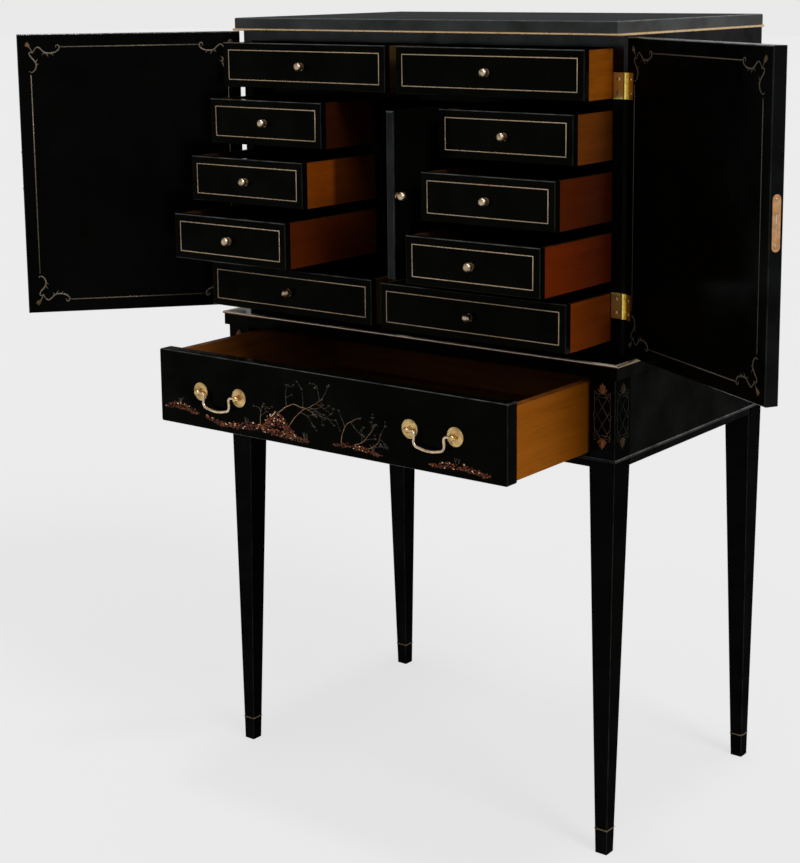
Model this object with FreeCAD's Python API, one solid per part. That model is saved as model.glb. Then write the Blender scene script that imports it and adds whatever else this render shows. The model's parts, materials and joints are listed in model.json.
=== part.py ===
import FreeCAD, Part
import math
import os

# Cabinet on stand: a two-door case of small drawers round a cupboard, on a four-legged stand
# with one wide drawer. Millimetres, +X to the right, +Y to the back, +Z up. The origin is on
# the floor, under the middle of the stand. Doors and drawers are drawn closed, then opened.

# Stand
stand_width = 732.0
stand_depth = 450.0
stand_height = 738.0
leg_size = 42.0
foot_size = 19.5
foot_inset_side = 8.5
foot_inset_ends = 3.0
leg_arris = 0.9
frieze_height = 131.0
stand_top_thick = 22.0
stand_top_overhang = 5.0
stand_bead_height = 4.2
stand_bead_projection = 2.3
bead_bed = 3.0
apron_thick = 20.0
apron_inset = 0.4
lower_rail_height = 15.0
lower_rail_depth = 22.0
astragal_height = 4.5
astragal_projection = 1.8
astragal_lift = 10.0

# Stand drawer and what it runs on
stand_drawer_pulled = 202.8
stand_drawer_clear = 1.2
stand_front_thick = 22.0
stand_front_corner = 3.0
stand_side_thick = 12.0
stand_bottom_thick = 6.0
stand_bottom_lift = 6.0
stand_bottom_groove = 4.0
stand_box_inset = 2.3
stand_box_rise = 3.4
stand_box_drop = 7.0
stand_box_end_gap = 10.0
runner_width = 26.0
runner_gap = 0.3
guide_gap = 0.6

# Case
case_width = 703.0
case_setback = 37.0
case_side_thick = 16.5
case_top_thick = 16.0
case_bottom_thick = 23.6
case_back_thick = 8.0
interior_setback = 28.0
opening_height = 70.3
row_count = 5
dust_board_thick = 15.2
muntin_thick = 23.0
partition_thick = 10.5
cupboard_width = 196.0
top_board_thick = 16.6
top_bead_height = 3.4
top_bead_projection = 2.8
top_overhang_front = 19.5
top_overhang_side = 1.0

# Small drawers: how far each one stands out of its closed place
pulled = {
    "top_left": 96.0,
    "top_right": 101.7,
    "upper_left": 128.2,
    "upper_right": 128.7,
    "middle_left": 173.6,
    "middle_right": 172.5,
    "lower_left": 214.3,
    "lower_right": 208.5,
    "bottom_left": 134.5,
    "bottom_right": 144.2,
}
rows = {"bottom": 0, "lower": 1, "middle": 2, "upper": 3, "top": 4}
wide_rows = ("bottom", "top")
front_clear = 0.8
front_thick = 12.0
front_round = 1.5
box_inset = 0.4
box_drop = 1.6
box_side_thick = 8.0
box_bottom_thick = 4.0
box_bottom_lift = 4.0
box_bottom_groove = 3.0
box_end_gap = 10.0

# Turned knob
knob_ball_radius = 6.6
knob_ball_centre = 8.0
knob_neck_radius = 2.8
knob_base_radius = 5.6
knob_base_thick = 1.3

# Doors
door_thick = 20.0
door_gap = 1.5
door_centre_gap = 2.0
door_clear_top = 1.5
door_clear_bottom = 7.0
door_round = 1.8
left_door_angle = 131.3
right_door_angle = 150.2

# Door hinges: butts whose pin stands just clear of the case side
hinge_height = 36.5
hinge_pin_radius = 1.5
hinge_knuckle_radius = 3.2
hinge_knuckle_count = 5
hinge_leaf_thick = 1.6
hinge_leaf_reach = 16.0
hinge_from_top = 48.5
hinge_from_bottom = 50.5
running_clear = 0.05
knuckle_clear = 0.3

# Centre cupboard door and its small butts
centre_door_angle = 85.7
centre_door_thick = 15.0
centre_door_clear = 0.8
centre_door_round = 3.0
small_hinge_height = 26.0
small_hinge_pin_radius = 1.0
small_hinge_knuckle_radius = 2.2
small_hinge_knuckle_count = 3
small_hinge_leaf_thick = 1.2
small_hinge_leaf_reach = 11.0
small_hinge_from_end = 32.0
centre_knob_from_edge = 8.0

# Mortise lock in the right door, with its strike in the left
lock_plate_height = 71.0
lock_plate_width = 12.0
lock_plate_thick = 2.0
lock_body_height = 52.0
lock_body_depth = 36.0
lock_body_thick = 10.0
bolt_height = 24.0
bolt_thick = 3.0
bolt_length = 24.0
bolt_travel = 7.0
bolt_clear = 0.3
keyhole_radius = 2.4
keyhole_slot = 7.0
key_from_edge = 22.0
key_wall = 1.0
key_depth_in_lock = 7.0
lock_above_door_bottom = 229.0

# Swan-neck bails
bail_spacing = 77.5
bail_from_end = 125.5
bail_rod_radius = 2.0
bail_stand_off = 8.6
bail_drop = 26.0
bail_neck_half = 24.5
bail_belly_half = 27.0
bail_belly_drop = 20.0
bail_end_past = 3.0
bail_neck_bend = 5.5
bail_corner_bend = 8.0
bail_sag_bend = 60.0
rose_radius = 13.8
rose_rim = 1.2
rose_crown = 3.6
rose_crown_radius = 7.6
rose_dome_radius = 11.7
rose_dome_height = 2.4
post_ball_radius = 4.6
post_neck_radius = 3.0
post_bolt_radius = 2.4
post_bolt_clear = 0.1
nut_radius = 5.0
nut_thick = 3.5

# Heights and planes that follow from them
stand_front = -stand_depth / 2
stand_back = stand_depth / 2
half_stand = stand_width / 2
stand_top_under = stand_height - stand_top_thick
frieze_bottom = stand_top_under - frieze_height
leg_inner = half_stand - leg_size
bail_centre = leg_inner - bail_from_end

case_front = stand_front + case_setback
case_back = stand_back
half_case = case_width / 2
case_inner = half_case - case_side_thick
case_floor = stand_height + case_bottom_thick
row_pitch = opening_height + dust_board_thick
case_ceiling = case_floor + row_count * row_pitch - dust_board_thick
case_top = case_ceiling + case_top_thick
case_inner_back = case_back - case_back_thick
interior_front = case_front + interior_setback
partition_inner = cupboard_width / 2
partition_outer = partition_inner + partition_thick

cupboard_floor = case_floor + row_pitch
cupboard_ceiling = case_ceiling - row_pitch

door_bottom = stand_height + door_clear_bottom
door_top = case_top - door_clear_top
door_inner_face = case_front - door_gap
hinge_pin_x = half_case + hinge_knuckle_radius + knuckle_clear
hinge_pin_y = case_front - door_gap / 2
hinge_heights = (door_top - hinge_from_top - hinge_height, door_bottom + hinge_from_bottom)
lock_z = door_bottom + lock_above_door_bottom

centre_pin_x = partition_inner - centre_door_clear / 2
centre_pin_y = interior_front - small_hinge_knuckle_radius - knuckle_clear
centre_hinge_heights = (
    cupboard_ceiling - small_hinge_from_end - small_hinge_height,
    cupboard_floor + small_hinge_from_end,
)

stand_opening_bottom = frieze_bottom + lower_rail_height
stand_drawer_bottom = stand_opening_bottom + stand_drawer_clear
stand_drawer_top = stand_top_under - stand_drawer_clear
stand_drawer_middle = (stand_drawer_bottom + stand_drawer_top) / 2
stand_box_bottom = stand_drawer_bottom + stand_box_rise
stand_box_top = stand_drawer_top - stand_box_drop
stand_box_half = leg_inner - stand_drawer_clear - stand_box_inset
stand_box_front = stand_front + stand_front_thick
stand_box_back = stand_back - apron_thick - stand_box_end_gap
bail_y = stand_front - bail_stand_off

up = FreeCAD.Vector(0, 0, 1)


def point(x, y, z):
    return FreeCAD.Vector(x, y, z)


def board(x, y, z):
    """A flat board between the low and high value of each axis."""
    return Part.makeBox(x[1] - x[0], y[1] - y[0], z[1] - z[0], point(x[0], y[0], z[0]))


def rod(radius, start, direction, length):
    return Part.makeCylinder(radius, length, start, direction)


def edges_on(shape, axis, value):
    """The straight edges of a board that lie wholly in the plane axis = value."""
    found = []
    for edge in shape.Edges:
        places = [getattr(vertex.Point, axis) for vertex in edge.Vertexes]
        if all(abs(place - value) < 1e-6 for place in places):
            found.append(edge)
    return found


def edges_along(shape, axis):
    """The straight edges that run nearly along an axis."""
    return [edge for edge in shape.Edges if abs(getattr(edge.tangentAt(0), axis)) > 0.9]


def rounded(shape, axis, value, radius):
    """Takes the sharp arris off every edge of one face."""
    return shape.makeFillet(radius, edges_on(shape, axis, value))


def plan_prism(corners, z):
    """A prism on a closed outline in plan."""
    outline = Part.makePolygon([point(x, y, z[0]) for x, y in corners + corners[:1]])
    return Part.Face(outline).extrude(up * (z[1] - z[0]))


def turned(profile, foot, axis):
    """Revolves a closed half profile, given as edges in (radius, height), about an axis."""
    solid = Part.Face(Part.Wire(profile)).revolve(point(0, 0, 0), up, 360)
    solid.Placement = FreeCAD.Placement(foot, FreeCAD.Rotation(up, axis))
    return solid


def profile_line(a, b):
    return Part.LineSegment(point(a[0], 0, a[1]), point(b[0], 0, b[1])).toShape()


def profile_arc(a, middle, b):
    ends = [point(place[0], 0, place[1]) for place in (a, middle, b)]
    return Part.Arc(*ends).toShape()


def mirrored(shape):
    return shape.mirror(point(0, 0, 0), point(1, 0, 0))


def swung(shape, x, y, degrees):
    """Turns a shape about the upright line through x, y."""
    copy = shape.copy()
    copy.rotate(point(x, y, 0), up, degrees)
    return copy


def slid(shape, distance):
    """Pulls a shape out towards the front."""
    copy = shape.copy()
    copy.translate(point(0, -distance, 0))
    return copy


def save(name, solids):
    shape = solids[0] if len(solids) == 1 else Part.makeCompound(solids)
    shape.exportStep(os.path.join("parts", name + ".step"))


# Stand


def leg(side, front):
    """A square post down to the frieze's lower edge, then a taper to the sole, with eased arrises."""
    outer = side * half_stand
    near, inward = (stand_front, 1) if front else (stand_back, -1)

    def square(size, inset_x, inset_y, z):
        xs = [outer - side * (inset_x + step) for step in (0, leg_arris, size - leg_arris, size)]
        ys = [near + inward * (inset_y + step) for step in (0, leg_arris, size - leg_arris, size)]
        corners = [(xs[1], ys[0]), (xs[2], ys[0]), (xs[3], ys[1]), (xs[3], ys[2])]
        corners += [(xs[2], ys[3]), (xs[1], ys[3]), (xs[0], ys[2]), (xs[0], ys[1])]
        return Part.makePolygon([point(a, b, z) for a, b in corners + corners[:1]])

    taper = Part.makeLoft(
        [square(foot_size, foot_inset_side, foot_inset_ends, 0), square(leg_size, 0, 0, frieze_bottom)],
        True,
        True,
    )
    post = Part.Face(square(leg_size, 0, 0, frieze_bottom)).extrude(up * frieze_height)
    return taper.fuse(post).removeSplitter()


def stand_rails():
    """The two side aprons, the back apron, the lower front rail and the astragal round them."""
    frieze = (frieze_bottom, stand_top_under)
    between_ends = (stand_front + leg_size, stand_back - leg_size)
    outer = half_stand - apron_inset
    side = board((outer - apron_thick, outer), between_ends, frieze)
    back_face = stand_back - apron_inset
    back = board((-leg_inner, leg_inner), (back_face - apron_thick, back_face), frieze)
    front_face = stand_front + apron_inset
    lower = board(
        (-leg_inner, leg_inner),
        (front_face, front_face + lower_rail_depth),
        (frieze_bottom, stand_opening_bottom),
    )
    return [side, mirrored(side), back, lower] + edge_bead(
        half_stand + astragal_projection,
        stand_front - astragal_projection,
        astragal_projection,
        frieze_bottom + astragal_lift,
        astragal_height,
    )


def edge_bead(half_width, front, depth, bottom, height):
    """A half-round bead along the front and both ends, mitred at the corners."""
    nose = min(height / 2, depth)
    z = (bottom, bottom + height)
    inner = half_width - depth
    middle = bottom + height / 2
    back = case_back

    def run(length_axis, tip, inward):
        """The bead's section, drawn out along one axis for the whole width or depth."""
        root = tip + inward * depth
        shoulder = tip + inward * nose

        def at(across, level):
            if length_axis == "x":
                return point(-half_width, across, level)
            return point(across, front, level)

        section = [
            Part.LineSegment(at(root, z[0]), at(shoulder, z[0])).toShape() if depth > nose else None,
            Part.Arc(at(shoulder, z[0]), at(tip, middle), at(shoulder, z[1])).toShape(),
            Part.LineSegment(at(shoulder, z[1]), at(root, z[1])).toShape() if depth > nose else None,
            Part.LineSegment(at(root, z[1]), at(root, z[0])).toShape(),
        ]
        face = Part.Face(Part.Wire([edge for edge in section if edge]))
        if length_axis == "x":
            return face.extrude(point(2 * half_width, 0, 0))
        return face.extrude(point(0, back - front, 0))

    front_plan = [(-half_width, front), (half_width, front), (inner, front + depth), (-inner, front + depth)]
    side_plan = [(half_width, front), (half_width, back), (inner, back), (inner, front + depth)]
    front_run = run("x", front, 1).common(plan_prism(front_plan, z))
    side_run = run("y", half_width, -1).common(plan_prism(side_plan, z))
    return [front_run.Solids[0], side_run.Solids[0], mirrored(side_run.Solids[0])]


def bedded_top(half_width, front, bottom, top, bed_bottom, bed_height):
    """A top board with a bed cut round three edges for its bead."""
    solid = board((-half_width, half_width), (front, case_back), (bottom, top))
    bed = (bed_bottom, bed_bottom + bed_height)
    inner = half_width - bead_bed
    front_cut = board((-half_width, half_width), (front, front + bead_bed), bed)
    side_cut = board((inner, half_width), (front, case_back), bed)
    return solid.cut(front_cut).cut(side_cut).cut(mirrored(side_cut))


def stand_top():
    return bedded_top(
        half_stand + stand_top_overhang,
        stand_front - stand_top_overhang,
        stand_top_under,
        stand_height,
        stand_height - stand_bead_height,
        stand_bead_height,
    )


def top_board():
    half_width = half_case + top_overhang_side
    front = case_front - top_overhang_front
    top = case_top + top_bead_height + top_board_thick
    solid = bedded_top(half_width, front, case_top, top, case_top, top_bead_height)
    return rounded(solid, "z", top, door_round)


def gilt_beads():
    stand_depth_of_bead = bead_bed + stand_bead_projection
    on_stand = edge_bead(
        half_stand + stand_top_overhang + stand_bead_projection,
        stand_front - stand_top_overhang - stand_bead_projection,
        stand_depth_of_bead,
        stand_height - stand_bead_height,
        stand_bead_height,
    )
    on_case = edge_bead(
        half_case + top_overhang_side + top_bead_projection,
        case_front - top_overhang_front - top_bead_projection,
        bead_bed + top_bead_projection,
        case_top,
        top_bead_height,
    )
    return on_stand + on_case


def drawer_runners():
    """Runners under the stand drawer's sides, guides beside them and kickers above them."""
    lengthwise = (stand_front + lower_rail_depth + apron_inset, stand_back - apron_inset - apron_thick)
    apron_face = half_stand - apron_inset - apron_thick
    runner_top = stand_box_bottom - runner_gap
    outer = stand_box_half + guide_gap
    runner = board((outer - runner_width, outer), lengthwise, (frieze_bottom, runner_top))
    guide = board(
        (outer, apron_face),
        (stand_front + leg_size, stand_back - leg_size),
        (frieze_bottom, stand_top_under),
    )
    kicker = board((outer - runner_width, outer), lengthwise, (stand_box_top + runner_gap, stand_top_under))
    return [runner, mirrored(runner), guide, mirrored(guide), kicker, mirrored(kicker)]


# Case


def case_carcass():
    """Two sides with the top and the bottom between them."""
    deep = (case_front, case_inner_back)
    side = board((case_inner, half_case), (case_front, case_back), (stand_height, case_top))
    for bottom in hinge_heights:
        side = side.cut(door_hinge_beds(bottom)[0])
    bottom = board((-case_inner, case_inner), deep, (stand_height, case_floor))
    top = board((-case_inner, case_inner), deep, (case_ceiling, case_top))
    return [side, mirrored(side), bottom, top]


def case_back_panel():
    return board((-case_inner, case_inner), (case_inner_back, case_back), (stand_height, case_top))


def dust_boards():
    """Two boards right across, and two pairs of short ones beside the cupboard."""
    deep = (interior_front, case_inner_back)
    boards = []
    for row in range(1, row_count):
        z = (case_floor + row * row_pitch - dust_board_thick, case_floor + row * row_pitch)
        if row in (1, row_count - 1):
            boards.append(board((-case_inner, case_inner), deep, z))
        else:
            short = board((partition_outer, case_inner), deep, z)
            boards += [short, mirrored(short)]
    return boards


def uprights():
    """The cupboard's two partitions, and a muntin between each pair of wide drawers."""
    deep = (interior_front, case_inner_back)
    inner = board((partition_inner, partition_outer), deep, (cupboard_floor, cupboard_ceiling))
    left = mirrored(inner)
    for bottom in centre_hinge_heights:
        inner = inner.cut(centre_hinge_beds(bottom)[0])
    half = muntin_thick / 2
    top_row = case_floor + (row_count - 1) * row_pitch
    low = board((-half, half), deep, (case_floor, case_floor + opening_height))
    high = board((-half, half), deep, (top_row, case_ceiling))
    return [inner, left, low, high]


# Hinges


def butt_hinge(x, y, bottom, height, pin_radius, knuckle_radius, count, fixed_plate, moving_plate):
    """A butt hinge round the upright pin at x, y: the fixed leaf, the moving leaf and the pin.

    The knuckles take turns up the pin, and the fixed leaf has the first and the last."""
    centre = point(x, y, bottom)
    step = height / count
    joint = knuckle_clear / 2
    leaves = {"fixed": fixed_plate, "moving": moving_plate}
    for number in range(count):
        owner, other = ("fixed", "moving") if number % 2 == 0 else ("moving", "fixed")
        low = bottom + number * step
        knuckle = rod(knuckle_radius, point(x, y, low + joint), up, step - 2 * joint)
        room = rod(knuckle_radius + knuckle_clear, point(x, y, low), up, step)
        leaves[owner] = leaves[owner].fuse(knuckle)
        leaves[other] = leaves[other].cut(room)
    fixed = leaves["fixed"].cut(rod(pin_radius, centre, up, height)).removeSplitter()
    moving = leaves["moving"].cut(rod(pin_radius + running_clear, centre, up, height)).removeSplitter()
    pin = rod(pin_radius, centre, up, height)
    return fixed.Solids[0], moving.Solids[0], pin


def door_hinge_beds(bottom):
    """Where the right door's hinge leaves are let in: the case side's bed and the door's."""
    x = (hinge_pin_x - knuckle_clear - hinge_knuckle_radius - hinge_leaf_reach, hinge_pin_x)
    z = (bottom, bottom + hinge_height)
    in_case = board(x, (case_front, case_front + hinge_leaf_thick), z)
    in_door = board(x, (door_inner_face - hinge_leaf_thick, door_inner_face), z)
    return in_case, in_door


def door_hinge(bottom):
    in_case, in_door = door_hinge_beds(bottom)
    return butt_hinge(
        hinge_pin_x,
        hinge_pin_y,
        bottom,
        hinge_height,
        hinge_pin_radius,
        hinge_knuckle_radius,
        hinge_knuckle_count,
        in_case,
        in_door,
    )


def centre_hinge_beds(bottom):
    """Beds of the cupboard door's hinge leaves, in the partition and in the door's edge."""
    y = (centre_pin_y, interior_front + small_hinge_leaf_reach)
    z = (bottom, bottom + small_hinge_height)
    in_case = board((partition_inner, partition_inner + small_hinge_leaf_thick), y, z)
    door_edge = partition_inner - centre_door_clear
    in_door = board((door_edge - small_hinge_leaf_thick, door_edge), y, z)
    return in_case, in_door


def centre_hinge(bottom):
    in_case, in_door = centre_hinge_beds(bottom)
    return butt_hinge(
        centre_pin_x,
        centre_pin_y,
        bottom,
        small_hinge_height,
        small_hinge_pin_radius,
        small_hinge_knuckle_radius,
        small_hinge_knuckle_count,
        in_case,
        in_door,
    )


# Doors and lock


def door_panel():
    """The right door, closed, with its hinge beds."""
    panel = board(
        (door_centre_gap / 2, half_case),
        (door_inner_face - door_thick, door_inner_face),
        (door_bottom, door_top),
    )
    for y in (door_inner_face - door_thick, door_inner_face):
        panel = rounded(panel, "y", y, door_round)
    for bottom in hinge_heights:
        panel = panel.cut(door_hinge_beds(bottom)[1])
    return panel


def edge_plate(x0, x1):
    """The round-ended plate of the lock or its strike, let into a door's meeting edge."""
    y = door_inner_face - door_thick / 2
    radius = lock_plate_width / 2
    reach = lock_plate_height / 2 - radius
    across = point(x1 - x0, 0, 0)
    flat = board((x0, x1), (y - radius, y + radius), (lock_z - reach, lock_z + reach))
    for z in (lock_z - reach, lock_z + reach):
        flat = flat.fuse(rod(radius, point(x0, y, z), across, x1 - x0))
    return flat.removeSplitter()


def lock_body_space():
    edge = door_centre_gap / 2 + lock_plate_thick
    y = door_inner_face - door_thick / 2
    return board(
        (edge, edge + lock_body_depth),
        (y - lock_body_thick / 2, y + lock_body_thick / 2),
        (lock_z - lock_body_height / 2, lock_z + lock_body_height / 2),
    )


def bolt_space(x0, x1, clear):
    y = door_inner_face - door_thick / 2
    return board(
        (x0, x1),
        (y - bolt_thick / 2 - clear, y + bolt_thick / 2 + clear),
        (lock_z - bolt_height / 2 - clear, lock_z + bolt_height / 2 + clear),
    )


def keyhole():
    """A round hole with a slot below it, from the door's outer face into the lock."""
    x = door_centre_gap / 2 + key_from_edge
    outer = door_inner_face - door_thick
    depth = (door_thick - lock_body_thick) / 2 + key_depth_in_lock
    z = lock_z - bolt_height / 2 - bolt_clear - key_wall - keyhole_radius
    hole = rod(keyhole_radius, point(x, outer, z), point(0, 1, 0), depth)
    half_slot = keyhole_radius / 2
    slot = board((x - half_slot, x + half_slot), (outer, outer + depth), (z - keyhole_slot, z))
    return hole.fuse(slot)


def lock_pieces():
    """The lock's case with its plate, and its bolt drawn in."""
    edge = door_centre_gap / 2
    plate = edge_plate(edge, edge + lock_plate_thick)
    channel = bolt_space(edge, edge + bolt_length + bolt_travel, bolt_clear)
    case = plate.fuse(lock_body_space()).cut(channel).cut(keyhole()).removeSplitter()
    bolt = bolt_space(edge, edge + bolt_length, 0)
    return case, bolt


def strike_pieces():
    """The strike plate in the left door's meeting edge, and the hollow cut for it."""
    edge = -door_centre_gap / 2
    plate = edge_plate(edge - lock_plate_thick, edge)
    hollow = plate.fuse(bolt_space(edge - lock_plate_thick - bolt_travel, edge, bolt_clear))
    return plate.cut(bolt_space(edge - lock_plate_thick, edge, bolt_clear)), hollow


def right_door():
    return swung_right(door_panel().cut(lock_pieces_space()).cut(keyhole()))


def lock_pieces_space():
    edge = door_centre_gap / 2
    return edge_plate(edge, edge + lock_plate_thick).fuse(lock_body_space())


def left_door():
    return swung_left(mirrored(door_panel()).cut(strike_pieces()[1]))


def swung_right(shape):
    return swung(shape, hinge_pin_x, hinge_pin_y, right_door_angle)


def swung_left(shape):
    return swung(shape, -hinge_pin_x, hinge_pin_y, -left_door_angle)


def swung_centre(shape):
    return swung(shape, centre_pin_x, centre_pin_y, centre_door_angle)


def centre_door():
    half = partition_inner - centre_door_clear
    panel = board(
        (-half, half),
        (interior_front, interior_front + centre_door_thick),
        (cupboard_floor + centre_door_clear, cupboard_ceiling - centre_door_clear),
    )
    panel = rounded(panel, "x", -half, centre_door_round)
    for bottom in centre_hinge_heights:
        panel = panel.cut(centre_hinge_beds(bottom)[1])
    return swung_centre(panel)


def centre_door_knob():
    x = -partition_inner + centre_door_clear + centre_knob_from_edge
    return swung_centre(knob(x, interior_front, (cupboard_floor + cupboard_ceiling) / 2))


# Drawers


def knob(x, y, z):
    """A turned knob on the upright face at y, pointing to the front."""
    neck = knob_neck_radius
    ball = knob_ball_radius
    centre = knob_ball_centre
    joint = centre - math.sqrt(ball**2 - neck**2)
    tip = centre + ball
    base = knob_base_radius
    profile = [
        profile_line((0, 0), (base, 0)),
        profile_line((base, 0), (base, knob_base_thick)),
        profile_line((base, knob_base_thick), (neck, knob_base_thick)),
        profile_line((neck, knob_base_thick), (neck, joint)),
        profile_arc((neck, joint), (ball, centre), (0, tip)),
        profile_line((0, tip), (0, 0)),
    ]
    return turned(profile, point(x, y, z), point(0, -1, 0))


def drawer_opening(name):
    """The opening of a small drawer: its span across and its span in height."""
    row, side = name.split("_")
    low = muntin_thick / 2 if row in wide_rows else partition_outer
    across = (low, case_inner) if side == "right" else (-case_inner, -low)
    bottom = case_floor + rows[row] * row_pitch
    return across, (bottom, bottom + opening_height)


def drawer_front(across, y, z, clear, thick):
    x = (across[0] + clear, across[1] - clear)
    return board(x, (y, y + thick), (z[0] + clear, z[1] - clear))


def drawer_box(across, y, z, side_thick, bottom_thick, bottom_lift, groove):
    """The boards behind a drawer's front: two sides grooved for the bottom, and the back on it."""
    inner = (across[0] + side_thick, across[1] - side_thick)
    floor_top = z[0] + bottom_lift + bottom_thick
    bottom = board((inner[0] - groove, inner[1] + groove), y, (floor_top - bottom_thick, floor_top))
    left = board((across[0], inner[0]), y, z).cut(bottom)
    right = board((inner[1], across[1]), y, z).cut(bottom)
    back = board(inner, (y[1] - side_thick, y[1]), (floor_top, z[1]))
    return [left, right, back, bottom]


def small_drawer(name):
    """One small drawer, pulled out: its front, the boards of its box and its knob."""
    across, z = drawer_opening(name)
    front = drawer_front(across, interior_front, z, front_clear, front_thick)
    front = rounded(front, "y", interior_front, front_round)
    clear = front_clear + box_inset
    box = drawer_box(
        (across[0] + clear, across[1] - clear),
        (interior_front + front_thick, case_inner_back - box_end_gap),
        (z[0] + runner_gap, z[1] - box_drop),
        box_side_thick,
        box_bottom_thick,
        box_bottom_lift,
        box_bottom_groove,
    )
    handle = knob(sum(across) / 2, interior_front, sum(z) / 2)
    out = pulled[name]
    return slid(front, out), [slid(piece, out) for piece in box], slid(handle, out)


def bail_post_places():
    """The middle of each rose on the stand drawer's front, from left to right."""
    half = bail_spacing / 2
    return [side * bail_centre + end * half for side in (-1, 1) for end in (-1, 1)]


def stand_drawer_front():
    across = (-leg_inner, leg_inner)
    z = (stand_opening_bottom, stand_top_under)
    front = drawer_front(across, stand_front, z, stand_drawer_clear, stand_front_thick)
    front = front.makeFillet(stand_front_corner, edges_along(front, "y"))
    front = rounded(front, "y", stand_front, front_round)
    for x in bail_post_places():
        start = point(x, stand_front, stand_drawer_middle)
        front = front.cut(rod(post_bolt_radius + post_bolt_clear, start, point(0, 1, 0), stand_front_thick))
    return slid(front, stand_drawer_pulled)


def stand_drawer_box():
    box = drawer_box(
        (-stand_box_half, stand_box_half),
        (stand_box_front, stand_box_back),
        (stand_box_bottom, stand_box_top),
        stand_side_thick,
        stand_bottom_thick,
        stand_bottom_lift,
        stand_bottom_groove,
    )
    return [slid(piece, stand_drawer_pulled) for piece in box]


def bail_post(x):
    """A rose and its ball-headed post in one, bolted through the drawer's front, and the nut."""
    rim, crown = rose_rim, rose_crown
    neck, ball, centre = post_neck_radius, post_ball_radius, bail_stand_off
    joint = centre - math.sqrt(ball**2 - neck**2)
    shoulder = rose_crown_radius
    dome = (rose_dome_radius, rose_dome_height)
    bolt_end = -(stand_front_thick + nut_thick)
    profile = [
        profile_line((0, bolt_end), (post_bolt_radius, bolt_end)),
        profile_line((post_bolt_radius, bolt_end), (post_bolt_radius, 0)),
        profile_line((post_bolt_radius, 0), (rose_radius, 0)),
        profile_line((rose_radius, 0), (rose_radius, rim)),
        profile_arc((rose_radius, rim), dome, (shoulder, crown)),
        profile_line((shoulder, crown), (neck, crown)),
        profile_line((neck, crown), (neck, joint)),
        profile_arc((neck, joint), (ball, centre), (0, centre + ball)),
        profile_line((0, centre + ball), (0, bolt_end)),
    ]
    foot = point(x, stand_front, stand_drawer_middle)
    post = turned(profile, foot, point(0, -1, 0))
    eye = rod(
        bail_rod_radius + running_clear,
        point(x - 2 * ball, bail_y, stand_drawer_middle),
        point(1, 0, 0),
        4 * ball,
    )
    inside = point(x, stand_front + stand_front_thick, stand_drawer_middle)
    nut = rod(nut_radius, inside, point(0, 1, 0), nut_thick)
    nut = nut.cut(rod(post_bolt_radius, inside, point(0, 1, 0), nut_thick))
    return [slid(post.cut(eye), stand_drawer_pulled), slid(nut, stand_drawer_pulled)]


def rounded_path(corners, radii):
    """Straight runs through the corners, each corner eased by an arc of its own radius."""
    edges = []
    start = corners[0]
    for before, corner, after, radius in zip(corners, corners[1:], corners[2:], radii):
        inward = (before - corner).normalize()
        outward = (after - corner).normalize()
        half_angle = inward.getAngle(outward) / 2
        reach = radius / math.tan(half_angle)
        a = corner + inward * reach
        b = corner + outward * reach
        centre = corner + (inward + outward).normalize() * (radius / math.sin(half_angle))
        middle = centre + (corner - centre).normalize() * radius
        edges.append(Part.LineSegment(start, a).toShape())
        edges.append(Part.Arc(a, middle, b).toShape())
        start = b
    edges.append(Part.LineSegment(start, corners[-1]).toShape())
    return Part.Wire(edges)


def bail(side):
    """A swan-neck bail, hanging down from its two posts."""
    half = bail_spacing / 2 + bail_end_past
    shape = [
        (-half, 0),
        (-bail_neck_half, 0),
        (-bail_belly_half, -bail_belly_drop),
        (0, -bail_drop),
        (bail_belly_half, -bail_belly_drop),
        (bail_neck_half, 0),
        (half, 0),
    ]
    radii = [bail_neck_bend, bail_corner_bend, bail_sag_bend, bail_corner_bend, bail_neck_bend]
    x = side * bail_centre
    corners = [point(x + a, bail_y, stand_drawer_middle + b) for a, b in shape]
    path = rounded_path(corners, radii)
    ring = Part.Wire(Part.Circle(corners[0], point(1, 0, 0), bail_rod_radius).toShape())
    rounded_rod = path.makePipeShell([ring], True, False)
    return slid(rounded_rod, stand_drawer_pulled)


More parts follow.
